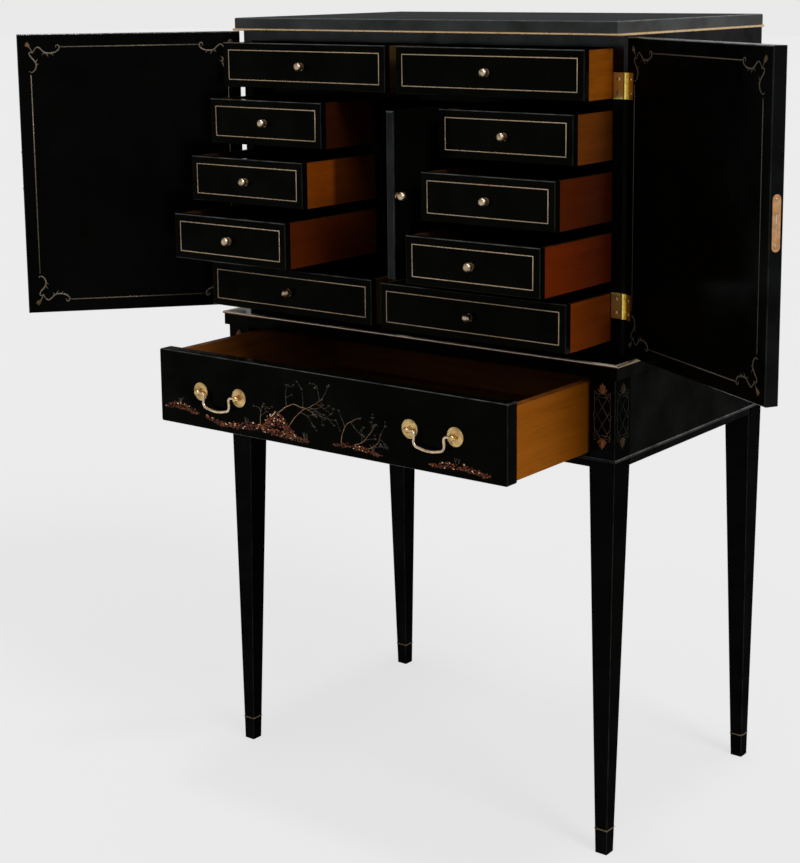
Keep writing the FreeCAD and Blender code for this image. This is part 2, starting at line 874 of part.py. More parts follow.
def build():
    """Every node by name, as a list of its solids."""
    nodes = {
        "leg_front_left": [leg(-1, True)],
        "leg_front_right": [leg(1, True)],
        "leg_rear_left": [leg(-1, False)],
        "leg_rear_right": [leg(1, False)],
        "stand_rails": stand_rails(),
        "stand_top": [stand_top()],
        "drawer_runners": drawer_runners(),
        "gilt_beads": gilt_beads(),
        "case_carcass": case_carcass(),
        "case_back": [case_back_panel()],
        "top_board": [top_board()],
        "dust_boards": dust_boards(),
        "uprights": uprights(),
        "left_door": [left_door()],
        "right_door": [right_door()],
        "centre_door": [centre_door()],
        "centre_door_knob": [centre_door_knob()],
    }
    door_hinges = [door_hinge(bottom) for bottom in hinge_heights]
    centre_hinges = [centre_hinge(bottom) for bottom in centre_hinge_heights]
    fixed = [hinge[0] for hinge in door_hinges]
    moving = [hinge[1] for hinge in door_hinges]
    pins = [hinge[2] for hinge in door_hinges]
    nodes["case_hinge_leaves"] = (
        fixed + [mirrored(leaf) for leaf in fixed] + [hinge[0] for hinge in centre_hinges]
    )
    nodes["hinge_pins"] = pins + [mirrored(pin) for pin in pins] + [hinge[2] for hinge in centre_hinges]
    nodes["left_door_hinge_leaves"] = [swung_left(mirrored(leaf)) for leaf in moving]
    nodes["right_door_hinge_leaves"] = [swung_right(leaf) for leaf in moving]
    nodes["centre_door_hinge_leaves"] = [swung_centre(hinge[1]) for hinge in centre_hinges]
    lock_case, lock_bolt = lock_pieces()
    nodes["lock_case"] = [swung_right(lock_case)]
    nodes["lock_bolt"] = [swung_right(lock_bolt)]
    nodes["lock_strike"] = [swung_left(strike_pieces()[0])]
    for name in pulled:
        front, box, handle = small_drawer(name)
        nodes["drawer_" + name + "_front"] = [front]
        nodes["drawer_" + name + "_box"] = box
        nodes["drawer_" + name + "_knob"] = [handle]
    nodes["stand_drawer_front"] = [stand_drawer_front()]
    nodes["stand_drawer_box"] = stand_drawer_box()
    nodes["bail_posts"] = [piece for x in bail_post_places() for piece in bail_post(x)]
    nodes["bail_left"] = [bail(-1)]
    nodes["bail_right"] = [bail(1)]
    return nodes


os.makedirs("parts", exist_ok=True)
for node, solids in build().items():
    save(node, solids)
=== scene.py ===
"""Looks of the cabinet on stand: lacquer, gilding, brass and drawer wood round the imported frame."""

import json
import math
import random

import bpy
import numpy as np
from mathutils import Matrix, Vector


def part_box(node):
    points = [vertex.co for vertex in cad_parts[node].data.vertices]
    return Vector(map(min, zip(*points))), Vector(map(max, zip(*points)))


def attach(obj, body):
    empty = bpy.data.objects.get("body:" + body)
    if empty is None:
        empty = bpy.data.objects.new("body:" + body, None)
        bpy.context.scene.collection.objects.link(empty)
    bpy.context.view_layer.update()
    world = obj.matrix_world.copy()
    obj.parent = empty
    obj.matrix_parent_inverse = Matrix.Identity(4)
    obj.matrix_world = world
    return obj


MM = 0.001
UP = Vector((0, 0, 1))
FRONT, REAR = (0, -1, 0), (0, 1, 0)
SQUARE = ((-1, -1), (1, -1), (1, 1), (-1, 1))

# A face looks some way when its normal leans at least this much towards it
FACING = 0.3

# Gilt lines, in millimetres, but for flatness, sides and steps
LINE_RADIUS = 0.95
LINE_FLATNESS = 0.35
LINE_SIDES, FINE_SIDES = 8, 6
STROKE_STEPS = 5
DRAWER_LINE_INSET = 11.5
DOOR_LINE_INSET = 20.0
DOOR_LINE_RADIUS = 0.8
DOOR_SCROLL_SPANS = (46.5, 43.5)
BUD_FLATNESS = 0.3
LEG_BAND_HEIGHT = 37.5
LEG_BAND_RADIUS = 1.6
LEG_BAND_SINK = 0.75

# Lacquer: how strongly it mirrors the room along each axis, its tints, the painted reflection on
# the top's upper face, its body, and the painted highlight on its arrises
LACQUER_GLOSS = (0.006, 0.016, 0.016)
LEG_GLOSS = (0.0015, 0.016, 0.016)
FRONT_GLOSS = (0.03, 0.016, 0.016)
DOOR_GLOSS = (0.05, 0.012, 0.016)
CENTRE_DOOR_GLOSS = (0.12, 0.012, 0.016)
CASE_GLOSS = (0.03, 0.20, 0.012)
TOP_GLOSS = (0.23, 0.27, 0.0)
GREENISH = (0.93, 1.0, 0.78, 1.0)
BLUISH = (0.88, 0.95, 1.0, 1.0)
# The top's upper faces carry a painted reflection of the pale room in this colour, with no gloss of
# their own
TOP_PAINTED_REFLECTION = (0.036, 0.037, 0.039)
LACQUER_LIGHT = 0.002
TOP_LIGHT = 0.016
# Arrises: where they lie, their painted highlight, its share where they don't look up, and gloss
ARRIS_SPAN = (0.95, 0.995)
ARRIS_HIGHLIGHT_COLOUR = (0.068, 0.071, 0.070)
ARRIS_HIGHLIGHT_SIDE_SHARE = 0.15
ARRIS_GLOSS = 0.7

# Below the case's top, in metres, where its upright faces go dim, and the share of gloss left there
CASE_DIM = (-0.075, -0.035)
CASE_DIM_SHARE = 0.08

# How far each door stands open at rest, in degrees about its upright pin
DOOR_TURNS = {"left_door": 131.3, "right_door": -150.2, "centre_door": -85.7}

# Gildings: the light and the dark colour, how much is worn, and for some how metallic and how shiny
GILDINGS = {
    "gilt": ((0.46, 0.34, 0.22), (0.26, 0.15, 0.08), 0.30),
    "band_gilt": ((0.15, 0.10, 0.042), (0.06, 0.035, 0.012), 0.36),
    # The right door's gilding is the doors' gilding made darker: painted shade, as less light falls
    # on it
    "left_door_gilt": ((0.15, 0.12, 0.085), (0.07, 0.05, 0.032), 0.34),
    "right_door_gilt": ((0.085, 0.067, 0.047), (0.04, 0.025, 0.016), 0.30),
    "bud_gilt": ((0.16, 0.10, 0.04), (0.06, 0.03, 0.01), 0.38),
    "bough_gilt": ((0.36, 0.20, 0.10), (0.15, 0.07, 0.03), 0.36),
    "twig_gilt": ((0.11, 0.090, 0.068), (0.045, 0.034, 0.025), 0.40),
    "fret_gilt": ((0.095, 0.052, 0.034), (0.032, 0.018, 0.012), 0.42),
    "finial_gilt": ((0.225, 0.078, 0.018), (0.10, 0.028, 0.008), 0.40),
    # The side fret panels' gildings are darker and duller than the front ones: painted shade
    "dim_fret_gilt": ((0.014, 0.013, 0.008), (0.006, 0.005, 0.003), 0.40, 0.0, 0.03),
    "dim_finial_gilt": ((0.045, 0.026, 0.008), (0.020, 0.012, 0.004), 0.40, 0.0, 0.03),
    "red_gilt": ((0.12, 0.024, 0.006), (0.035, 0.006, 0.002), 0.42, 0.1),
    "orange_gilt": ((0.50, 0.15, 0.028), (0.22, 0.045, 0.008), 0.40, 0.2),
    "spark_gilt": ((0.95, 0.72, 0.46), (0.70, 0.40, 0.18), 0.30),
}
BEAD_GILT = ((0.74, 0.52, 0.29), (0.36, 0.18, 0.07), 0.30, 0.85)
CASE_BEADS_ABOVE = 0.1
# On the stand's bead: a painted highlight along the top, painted shade below and along the sides
STAND_BEAD_HIGHLIGHT = (0.92, 0.80, 0.64)
STAND_BEAD_SHADE = (0.13, 0.042, 0.016)
STAND_BEAD_SIDE_SHADE = (0.25, 0.17, 0.09)

# Brasses: the light and the dark colour
BRASSES = {
    "brass": ((0.88, 0.72, 0.20), (0.64, 0.48, 0.13)),
    "rose_brass": ((0.72, 0.50, 0.21), (0.30, 0.17, 0.06)),
    "bail_brass": ((0.78, 0.61, 0.42), (0.40, 0.28, 0.16)),
    "pale_brass": ((0.60, 0.48, 0.35), (0.29, 0.20, 0.11)),
    "copper": ((0.60, 0.33, 0.155), (0.40, 0.185, 0.075)),
}

# Wood: the tone of each drawer's outside, with painted shade in it where other parts shadow the
# drawer, what a painted shadow leaves of it towards the rear, and the insides
DRAWER_TONES_AND_SHADE = {
    "top_left": (0.045, 0.024, 0.008),
    "top_right": (0.228, 0.060, 0.002),
    "upper_left": (0.026, 0.005, 0.001),
    "upper_right": (0.134, 0.032, 0.002),
    "middle_left": (0.175, 0.036, 0.001),
    "middle_right": (0.079, 0.0114, 0.001),
    "lower_left": (0.068, 0.011, 0.001),
    "lower_right": (0.139, 0.0176, 0.001),
    "bottom_left": (0.065, 0.035, 0.008),
    "bottom_right": (0.195, 0.034, 0.001),
}
# No painted shadow towards the rear: the whole tone stays
NO_REAR_SHADOW = (1.0, 0.0, 1.0)
REAR_SHADOWS = {"middle_left": (0.28, 0.056, 0.068)}
SMALL_DRAWER_INSIDE = (0.020, 0.008, 0.003)
STAND_DRAWER_TONE = (0.295, 0.082, 0.002)
# The stand drawer's side: a painted shadow, darker towards the case
STAND_DRAWER_REAR_SHADOW = (0.58, 0.0, 0.19)
STAND_DRAWER_INSIDE = (0.120, 0.038, 0.006)
HIDDEN_WOOD_TONE = (0.10, 0.030, 0.004)
RUNNER_WOOD_SEED = 5.3
STAND_WOOD_SEED = 3.1
WOOD_SEED_STEP = 1.7
WOOD_GLOSS = 0.03

# Sizes of the procedural patterns, as noise scales: the wood's are across and along the grain
LACQUER_CLOUDS, REFLECTION_CLOUDS = 5.0, 7.0
RIPPLES, SMEARS, ARRIS_HIGHLIGHT_BREAKS = 9.0, 16.0, 38.0
GILT_PATCHES, GILT_GRAIN = 260.0, 900.0
PATINA, SCRATCHES = 120.0, 12.0
SCRATCH_STRETCH = (60, 60, 900)
WOOD_STREAKS = (46.0, 2.6)
WOOD_PORES = (520.0, 26.0)

# Fittings, in millimetres: a hinge's screws stand a share of a leaf's height from its ends
HINGE_SCREW_RADIUS = 2.9
HINGE_SCREW_SEED = 7
LOCK_SCREW_RADIUS = 2.4
LOCK_SCREW_SEED = 9
SCREW_UP_THE_LEAF = 0.24
SCREW_FROM_LEAF_EDGE = 7.5
SCREW_FROM_PLATE_END = 6.5
SCREW_PROUD = 0.25
SCREWED_LEAF_HEIGHT = 30.0

# Fretwork panels on the stand's corners, in millimetres: the finial's strokes are points across and
# up from its foot, with the half width at each, and those off its middle have a twin
FRET_HALF_WIDTH = 13.0
FRET_HALF_HEIGHT = 34.0
FRET_STEP = 1.1
FRET_LINE = 0.6
FRET_FLATNESS = 0.4
LATTICE_SHARE = 0.85
LATTICE_PITCH = 26.0
LATTICE_SLOPE = 1.6
FINIAL = [
    ([(0, 0), (0, 7), (0, 15)], [2.0, 4.4, 0.6]),
    ([(0, 1), (5.0, 6), (2.6, 12)], [1.1, 2.7, 0.6]),
    ([(0, 0), (6.4, 2.2), (7.0, 6.5)], [1.0, 1.9, 0.5]),
]
FINIAL_FLATNESS = 0.3
FRET_SIDE_STRETCH = 1.15
FRET_ABOVE_MIDDLE = 10.5

PAINTING_SEED = 12
TWIG_FLATNESS = 0.4
DAB_WIDTH_SHARE = 0.6
DAB_HEIGHT = 0.3

# Seen from the front right, a little above the top, with a long lens
CAMERA_PLACE = (1.6512, -2.3731, 1.2791)
CAMERA_YAW = 37.7555
CAMERA_PITCH = 10.2390
CAMERA_ROLL = 0.5951
CAMERA_LENS = 76.203
CAMERA_SENSOR = 36.0
CAMERA_SHIFT_Y = -0.1503
CAMERA_REACH = 200.0

# The room: each lamp has its heading, its angle in degrees and its strength
LAMPS = {
    "key_light": ((-0.88, 0.26, -0.80), 20, 1.8),
    "top_light": ((-0.03, 0.03, -1.0), 7, 1.0),
}
BACKDROP_GREY = 0.82
CEILING_GREY = 0.3
FLOOR_GREY = 0.125
FLOOR_GLOW = 0.673
ROOM_LIGHT = 0.62
FLOOR_SIZE = 60.0

ROWS = ("top", "upper", "middle", "lower", "bottom")
DRAWERS = [row + "_" + side for row in ROWS for side in ("left", "right")]
LEGS = ["leg_%s_%s" % (place, side) for place in ("front", "rear") for side in ("left", "right")]
DOORS = ("left_door", "right_door")


# Node trees


def plug(socket, value):
    """Links an input to a socket, or gives it a plain value; a plain colour gets its alpha."""
    if isinstance(value, bpy.types.NodeSocket):
        socket.id_data.links.new(value, socket)
    elif socket.type == "RGBA" and len(value) == 3:
        socket.default_value = (*value, 1.0)
    else:
        socket.default_value = value


def set_inputs(node, **values):
    """Plugs a node's inputs by their names, with _ for a space."""
    for label, value in values.items():
        plug(node.inputs[label.replace("_", " ")], value)


def new_node(tree, kind, **values):
    node = tree.nodes.new(kind)
    set_inputs(node, **values)
    return node


def geometry_tree(name, inputs):
    """An empty geometry tree with named inputs: what they give, and the tree's one output node."""
    tree = bpy.data.node_groups.new(name, "GeometryNodeTree")
    for label, kind in inputs.items():
        tree.interface.new_socket(label, in_out="INPUT", socket_type="NodeSocket" + kind)
    tree.interface.new_socket("Geometry", in_out="OUTPUT", socket_type="NodeSocketGeometry")
    return tree, tree.nodes.new("NodeGroupInput").outputs, tree.nodes.new("NodeGroupOutput")


def gilding_tree():
    """A raised line of gilding: a round section swept along a path, then flattened."""
    inputs = {"Path": "Object", "Sides": "Int", "Flatness": "Float", "Material": "Material"}
    tree, given, result = geometry_tree("gilding", inputs)
    path = new_node(tree, "GeometryNodeObjectInfo", Object=given["Path"])
    circle = new_node(tree, "GeometryNodeCurvePrimitiveCircle", Resolution=given["Sides"])
    radius = new_node(tree, "GeometryNodeInputRadius").outputs["Radius"]
    sweep = new_node(tree, "GeometryNodeCurveToMesh", Curve=path.outputs["Geometry"], Scale=radius)
    set_inputs(circle, Radius=1.0)
    set_inputs(sweep, Profile_Curve=circle.outputs["Curve"], Fill_Caps=True)
    scale = new_node(tree, "ShaderNodeCombineXYZ", X=1.0, Y=1.0, Z=given["Flatness"])
    mesh, flat = sweep.outputs["Mesh"], scale.outputs["Vector"]
    mesh = new_node(tree, "GeometryNodeTransform", Geometry=mesh, Scale=flat).outputs["Geometry"]
    mesh = new_node(tree, "GeometryNodeSetShadeSmooth", Geometry=mesh).outputs["Geometry"]
    finish_tree(tree, mesh, given, result)
    return tree


def scatter_tree():
    """Copies of a small shape, one on each point of a mesh, sized and turned by its attributes."""
    inputs = {"Points": "Geometry", "Shape": "Object", "Material": "Material"}
    tree, given, result = geometry_tree("scatter", inputs)
    shape = new_node(tree, "GeometryNodeObjectInfo", Object=given["Shape"])
    attributes = {}
    for label in ("turn", "size"):
        node = new_node(tree, "GeometryNodeInputNamedAttribute", Name=label)
        node.data_type = "FLOAT_VECTOR"
        attributes[label] = node.outputs["Attribute"]
    turn = new_node(tree, "FunctionNodeEulerToRotation", Euler=attributes["turn"])
    copies = new_node(tree, "GeometryNodeInstanceOnPoints", Points=given["Points"])
    set_inputs(copies, Instance=shape.outputs["Geometry"], Scale=attributes["size"])
    set_inputs(copies, Rotation=turn.outputs["Rotation"])
    finish_tree(tree, copies.outputs["Instances"], given, result)
    return tree


def finish_tree(tree, geometry, given, result):
    """Makes the geometry real, gives it its material and sends it out."""
    real = new_node(tree, "GeometryNodeRealizeInstances", Geometry=geometry).outputs["Geometry"]
    paint = new_node(tree, "GeometryNodeSetMaterial", Geometry=real, Material=given["Material"])
    plug(result.inputs["Geometry"], paint.outputs["Geometry"])


def grown(tree, host, values):
    """The plain mesh that a geometry tree makes on a host object with these named inputs."""
    modifier = host.modifiers.new("tree", "NODES")
    modifier.node_group = tree
    inputs = (item for item in tree.interface.items_tree if item.in_out == "INPUT")
    sockets = {item.name: item.identifier for item in inputs}
    for label, value in values.items():
        modifier[sockets[label]] = value
    bpy.context.view_layer.update()
    depsgraph = bpy.context.evaluated_depsgraph_get()
    mesh = bpy.data.meshes.new_from_object(host.evaluated_get(depsgraph), depsgraph=depsgraph)
    bpy.data.objects.remove(host)
    return mesh


# Faces of the CAD pieces


def face_matrix(origin, out):
    """Takes millimetres across, up and out of an upright face to the frame."""
    out = Vector(out).normalized()
    turn = Matrix((UP.cross(out), UP, out)).transposed().to_4x4()
    return Matrix.Translation(origin) @ turn @ Matrix.Scale(MM, 4)


class Face:
    """A flat rectangle on a CAD piece: its middle in metres, its axes, and its half sizes in
    millimetres."""

    def __init__(self, node, outward):
        mesh = frame["nodes"][node].data
        normals = np.array([polygon.normal for polygon in mesh.polygons])
        areas = np.array([polygon.area for polygon in mesh.polygons])
        towards = normals @ np.array(outward, float) > FACING
        rounded = np.round(normals[towards], 3)
        ways, which = np.unique(rounded, axis=0, return_inverse=True)
        weights = np.bincount(which.ravel(), areas[towards])
        self.out = Vector(ways[weights.argmax()]).normalized()
        self.across = UP.cross(self.out)
        axes = (self.across, UP, self.out)
        points = np.array([v.co for v in mesh.vertices])
        spans = [points @ np.array(axis) for axis in axes]
        self.half = [(span.max() - span.min()) / 2 / MM for span in spans[:2]]
        places = [(span.max() + span.min()) / 2 for span in spans[:2]] + [spans[2].max()]
        self.middle = sum((axis * place for axis, place in zip(axes, places)), Vector())

    def matrix(self):
        return face_matrix(self.middle, self.out)


def solid_boxes(node, matrix):
    """The box of each separate solid in a node, in the frame that matrix takes millimetres from."""
    inverse = np.array(matrix.inverted())
    mesh = frame["nodes"][node].data
    points = np.array([v.co for v in mesh.vertices])
    points = points @ inverse[:3, :3].T + inverse[:3, 3]
    keys = {}
    merged = [keys.setdefault(tuple(row), len(keys)) for row in np.round(points, 3)]
    parent = list(range(len(keys)))

    def root(index):
        while parent[index] != index:
            parent[index] = parent[parent[index]]
            index = parent[index]
        return index

    for edge in mesh.edges:
        a, b = (root(merged[index]) for index in edge.vertices)
        parent[b] = a
    groups = {}
    for index, key in enumerate(merged):
        groups.setdefault(root(key), []).append(points[index])
    boxes = [(np.min(group, axis=0), np.max(group, axis=0)) for group in groups.values()]
    return sorted(boxes, key=lambda box: (round(box[0][0]), round(box[0][2]), round(box[0][1])))


# Making pieces


def added(name, data):
    """A new object in the scene."""
    thing = bpy.data.objects.new(name, data)
    bpy.context.collection.objects.link(thing)
    return thing


def joined(name, meshes, body):
    """One object from several meshes, which rides on a body."""
    vertices, faces, smooth, looks, indices = [], [], [], [], []
    for mesh in meshes:
        start = len(vertices)
        vertices += [v.co[:] for v in mesh.vertices]
        looks += [material for material in mesh.materials if material not in looks]
        places = [looks.index(material) for material in mesh.materials]
        for polygon in mesh.polygons:
            faces.append([start + index for index in polygon.vertices])
            smooth.append(polygon.use_smooth)
            indices.append(places[polygon.material_index])
    whole = bpy.data.meshes.new(name)
    whole.from_pydata(vertices, [], faces)
    for material in looks:
        whole.materials.append(material)
    whole.polygons.foreach_set("use_smooth", smooth)
    whole.polygons.foreach_set("material_index", indices)
    whole.update()
    piece = added(name, whole)
    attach(piece, body)


class Stroke:
    """A brushed line: points across and up a face, with the line's half width at each. A closed
    one is straight from point to point."""

    def __init__(self, points, radii=LINE_RADIUS, straight=False, closed=False):
        self.points = list(points)
        self.radii = radii if isinstance(radii, (list, tuple)) else [radii] * len(self.points)
        self.straight = straight or closed
        self.closed = closed


def path_object(strokes):
    """A curve object with one spline for each stroke, still in millimetres."""
    curve = bpy.data.curves.new("strokes", "CURVE")
    curve.dimensions = "3D"
    curve.resolution_u = STROKE_STEPS
    for stroke in strokes:
        spline = curve.splines.new("POLY" if stroke.straight else "NURBS")
        spline.points.add(len(stroke.points) - 1)
        for target, place, radius in zip(spline.points, stroke.points, stroke.radii):
            target.co = (*place, 0.0, 1.0)
            target.radius = radius
        spline.use_cyclic_u = stroke.closed
        if not stroke.straight:
            spline.order_u = 3
            spline.use_endpoint_u = True
    return added("strokes", curve)


def gilded(strokes, matrix, material, flatness=LINE_FLATNESS, sides=LINE_SIDES):
    """The mesh of strokes gilded on a face."""
    path = path_object(strokes)
    host = added("host", bpy.data.meshes.new("host"))
    values = {"Path": path, "Sides": sides, "Flatness": flatness, "Material": material}
    mesh = grown(trees["gilding"], host, values)
    bpy.data.objects.remove(path)
    mesh.transform(matrix)
    return mesh


def scattered(shape, spots, matrix, material):
    """The mesh of copies of a shape. Each spot is (place, size, turn about the face's normal)."""
    mesh = bpy.data.meshes.new("spots")
    places, sizes, turns = zip(*spots)
    mesh.from_pydata(places, [], [])
    for label, values in (("size", sizes), ("turn", [(0, 0, turn) for turn in turns])):
        attribute = mesh.attributes.new(label, "FLOAT_VECTOR", "POINT")
        attribute.data.foreach_set("vector", np.ravel(values))
    values = {"Shape": shape, "Material": material}
    copies = grown(trees["scatter"], added("spots", mesh), values)
    copies.transform(matrix)
    return copies


def shape_object(name, vertices, faces, smooth):
    mesh = bpy.data.meshes.new(name)
    mesh.from_pydata(vertices, [], faces)
    mesh.polygons.foreach_set("use_smooth", [smooth] * len(faces))
    mesh.update()
    return added(name, mesh)


def walls(start, count, levels):
    """Faces between the rings of a stack of vertices, with count of them to a ring."""
    faces = []
    for first in range(start, start + levels * count, count):
        for step in range(count):
            a, b = first + step, first + (step + 1) % count
            faces.append([a, b, b + count, a + count])
    return faces


def prism(start, count, levels):
    """The walls of a stack of rings, with its top and its bottom."""
    top = start + levels * count
    caps = [list(range(top, top + count)), list(reversed(range(start, start + count)))]
    return walls(start, count, levels) + caps


def dab_shape(rings=2, sides=7):
    """A low dome of radius 1 and height 1, as a drop of gesso under the gilding."""
    vertices = []
    for ring in range(rings):
        angle = math.radians(90 * ring / rings)
        radius = math.cos(angle)
        for side in range(sides):
            turn = 2 * math.pi * side / sides
            vertices.append((radius * math.cos(turn), radius * math.sin(turn), math.sin(angle)))
    top, last = rings * sides, (rings - 1) * sides
    faces = [list(reversed(range(sides)))] + walls(0, sides, rings - 1)
    faces += [[last + side, last + (side + 1) % sides, top] for side in range(sides)]
    return shape_object("dab", vertices + [(0, 0, 1)], faces, True)


def screw_shape(sides=10, slot_half=0.14, slot_depth=0.35, crown=0.22):
    """A slotted screw head of radius 1: two crowned halves with a groove between them."""
    limit = math.asin(slot_half)
    rim = [limit + (math.pi - 2 * limit) * step / sides for step in range(sides + 1)]
    vertices, faces = [], []
    for half in (1, -1):
        faces += prism(len(vertices), len(rim), 2)
        for level, radius in ((-slot_depth, 1.0), (0.0, 1.0), (crown, 0.7)):
            for angle in rim:
                y = max(radius * math.sin(angle), slot_half)
                vertices.append((radius * math.cos(angle) * half, y * half, level))
    faces += prism(len(vertices), len(SQUARE), 1)
    reach = math.sqrt(1 - slot_half**2)
    for z in (-slot_depth, -slot_depth / 2):
        vertices += [(x * reach, y * slot_half, z) for x, y in SQUARE]
    return shape_object("screw", vertices, faces, False)


# Materials


def material_tree(name):
    material = bpy.data.materials.new(name)
    material.use_nodes = True
    return material, material.node_tree, material.node_tree.nodes["Principled BSDF"]


def split(vector):
    """The X, Y and Z of a vector."""
    return new_node(vector.id_data, "ShaderNodeSeparateXYZ", Vector=vector).outputs


def coordinate(tree, kind):
    return tree.nodes.new("ShaderNodeTexCoord").outputs[kind]


def object_space(tree, scale=(1, 1, 1), place=(0, 0, 0)):
    """Object coordinates, scaled and moved: the pattern's own space."""
    vector = coordinate(tree, "Object")
    mapping = new_node(tree, "ShaderNodeMapping", Vector=vector, Scale=scale, Location=place)
    return mapping.outputs["Vector"]


def noise(space, scale, detail, roughness=0.5, distortion=0.0):
    texture = new_node(space.id_data, "ShaderNodeTexNoise", Vector=space, Scale=scale)
    set_inputs(texture, Detail=detail, Roughness=roughness, Distortion=distortion)
    return texture.outputs["Fac"]


def ramp(factor, stops):
    """A colour ramp through (position, colour) stops."""
    node = new_node(factor.id_data, "ShaderNodeValToRGB", Fac=factor)
    elements = node.color_ramp.elements
    while len(elements) < len(stops):
        elements.new(0.5)
    for element, (position, colour) in zip(elements, stops):
        element.position = position
        element.color = (*colour, 1.0)
    return node.outputs["Color"]


def remap(value, low, high, new_low, new_high):
    node = new_node(value.id_data, "ShaderNodeMapRange", Value=value)
    set_inputs(node, From_Min=low, From_Max=high, To_Min=new_low, To_Max=new_high)
    return node.outputs["Result"]


def maths(operation, total, *others):
    """An operation on a socket alone, or on it and each of the others from left to right."""
    for other in others or (0.0,):
        node = total.id_data.nodes.new("ShaderNodeMath")
        node.operation = operation
        plug(node.inputs[0], total)
        plug(node.inputs[1], other)
        total = node.outputs["Value"]
    return total


# A mix node's inputs A and B and its output, by what it mixes
MIX_SOCKETS = {"FLOAT": (2, 3, 0), "RGBA": (6, 7, 2)}


def mixed(factor, a, b, kind="RGBA"):
    """From a to b as the factor goes from 0 to 1; each is a socket or a plain value."""
    node = new_node(factor.id_data, "ShaderNodeMix", Factor=factor)
    node.data_type = kind
    first, second, result = MIX_SOCKETS[kind]
    plug(node.inputs[first], a)
    plug(node.inputs[second], b)
    return node.outputs[result]


def bumped(shader, height, strength, distance):
    bump = new_node(height.id_data, "ShaderNodeBump", Height=height)
    set_inputs(bump, Strength=strength, Distance=distance)
    set_inputs(shader, Normal=bump.outputs["Normal"])


def scaled(colour, share):
    return tuple(channel * share for channel in colour)


def lacquer_masks(tree, turn):
    """How squarely a spot faces along each axis, how far it lies on a rounded arris, and how far
    that looks up, which sets how bright the arris's painted highlight is. Turn takes a door's mesh
    back to square."""
    mapping = new_node(tree, "ShaderNodeMapping", Rotation=(0, 0, math.radians(turn)))
    mapping.vector_type = "NORMAL"
    set_inputs(mapping, Vector=coordinate(tree, "Normal"))
    normal = split(mapping.outputs["Vector"])
    sides = [maths("ABSOLUTE", normal[axis]) for axis in "XYZ"]
    arris = remap(maths("MAXIMUM", *sides), *ARRIS_SPAN, 1.0, 0.0)
    highlight_upward = remap(normal["Z"], 0.1, 0.6, ARRIS_HIGHLIGHT_SIDE_SHARE, 1.0)
    return sides, arris, highlight_upward


def lacquer_material(
    name, gloss=LACQUER_GLOSS, tint=GREENISH, turn=0, light=LACQUER_LIGHT, upper_reflection=None, dim_sides=None
):
    """Black lacquer, polished smooth by hand: deep, faintly tinted, with a slow ripple and a painted
    highlight on the arrises, brightest where they look up. Gloss is that of the faces across each
    axis. Between the two heights of dim_sides the upright faces' own gloss dies away downwards. A
    colour for the upper faces, if given, is a painted reflection laid on the faces that look up."""
    material, tree, shader = material_tree(name)
    space = object_space(tree)
    dark = (light * 0.35, light * 0.42, light * 0.26)
    pale = (light * 0.9, light, light * 0.75)
    body = ramp(noise(space, LACQUER_CLOUDS, 4.0), [(0.3, dark), (0.7, pale)])
    sides, arris, highlight_upward = lacquer_masks(tree, turn)
    # A painted reflection of the pale room on the faces that look up, broken by a cloud
    if upper_reflection:
        cloud = remap(noise(space, REFLECTION_CLOUDS, 5.0, 0.6), 0.3, 0.7, 0.7, 1.0)
        level = remap(sides[2], 0.9, 0.99, 0.0, 1.0)
        body = mixed(maths("MULTIPLY", level, cloud), body, upper_reflection)
    # Painted highlight on the arrises: broken by a noise and brightest where an arris looks up
    highlight_breaks = remap(noise(space, ARRIS_HIGHLIGHT_BREAKS, 4.0, 0.6), 0.35, 0.7, 0.2, 1.0)
    wear_and_painted_light = maths("MULTIPLY", arris, highlight_breaks, highlight_upward)
    smears = noise(space, SMEARS, 5.0, 0.6)
    uneven = remap(smears, 0.3, 0.7, 0.45, 1.55)
    upright = [uneven]
    if dim_sides:
        upright.append(remap(split(space)["Z"], *dim_sides, CASE_DIM_SHARE, 1.0))
    sheen = remap(wear_and_painted_light, 0.0, 1.0, 0.0, ARRIS_GLOSS)
    for side, share, factors in zip(sides, gloss, (upright, upright, [uneven])):
        sheen = maths("ADD", sheen, maths("MULTIPLY", side, share, *factors))
    bumped(shader, noise(space, RIPPLES, 2.0), 0.12, 0.002)
    # The body, with the arrises' painted highlight mixed in
    colour = mixed(wear_and_painted_light, body, ARRIS_HIGHLIGHT_COLOUR)
    roughness = remap(smears, 0.3, 0.75, 0.1, 0.24)
    set_inputs(shader, Base_Color=colour, Roughness=roughness)
    set_inputs(shader, Specular_IOR_Level=sheen, Specular_Tint=tint)
    return material


def gilt_material(name, light, dark, wear_and_painted_light, metallic=0.35, sheen=0.2):
    """Gold paint on a warm ground, worn thin in spots."""
    material, tree, shader = material_tree(name)
    space = object_space(tree)
    patches = noise(space, GILT_PATCHES, 4.0, 0.6)
    colour = ramp(patches, [(wear_and_painted_light, dark), (wear_and_painted_light + 0.18, light)])
    roughness = remap(patches, 0.3, 0.7, 0.5, 0.34)
    bumped(shader, noise(space, GILT_GRAIN, 2.0), 0.15, 0.0002)
    set_inputs(shader, Base_Color=colour, Roughness=roughness)
    set_inputs(shader, Metallic=metallic, Specular_IOR_Level=sheen)
    return material


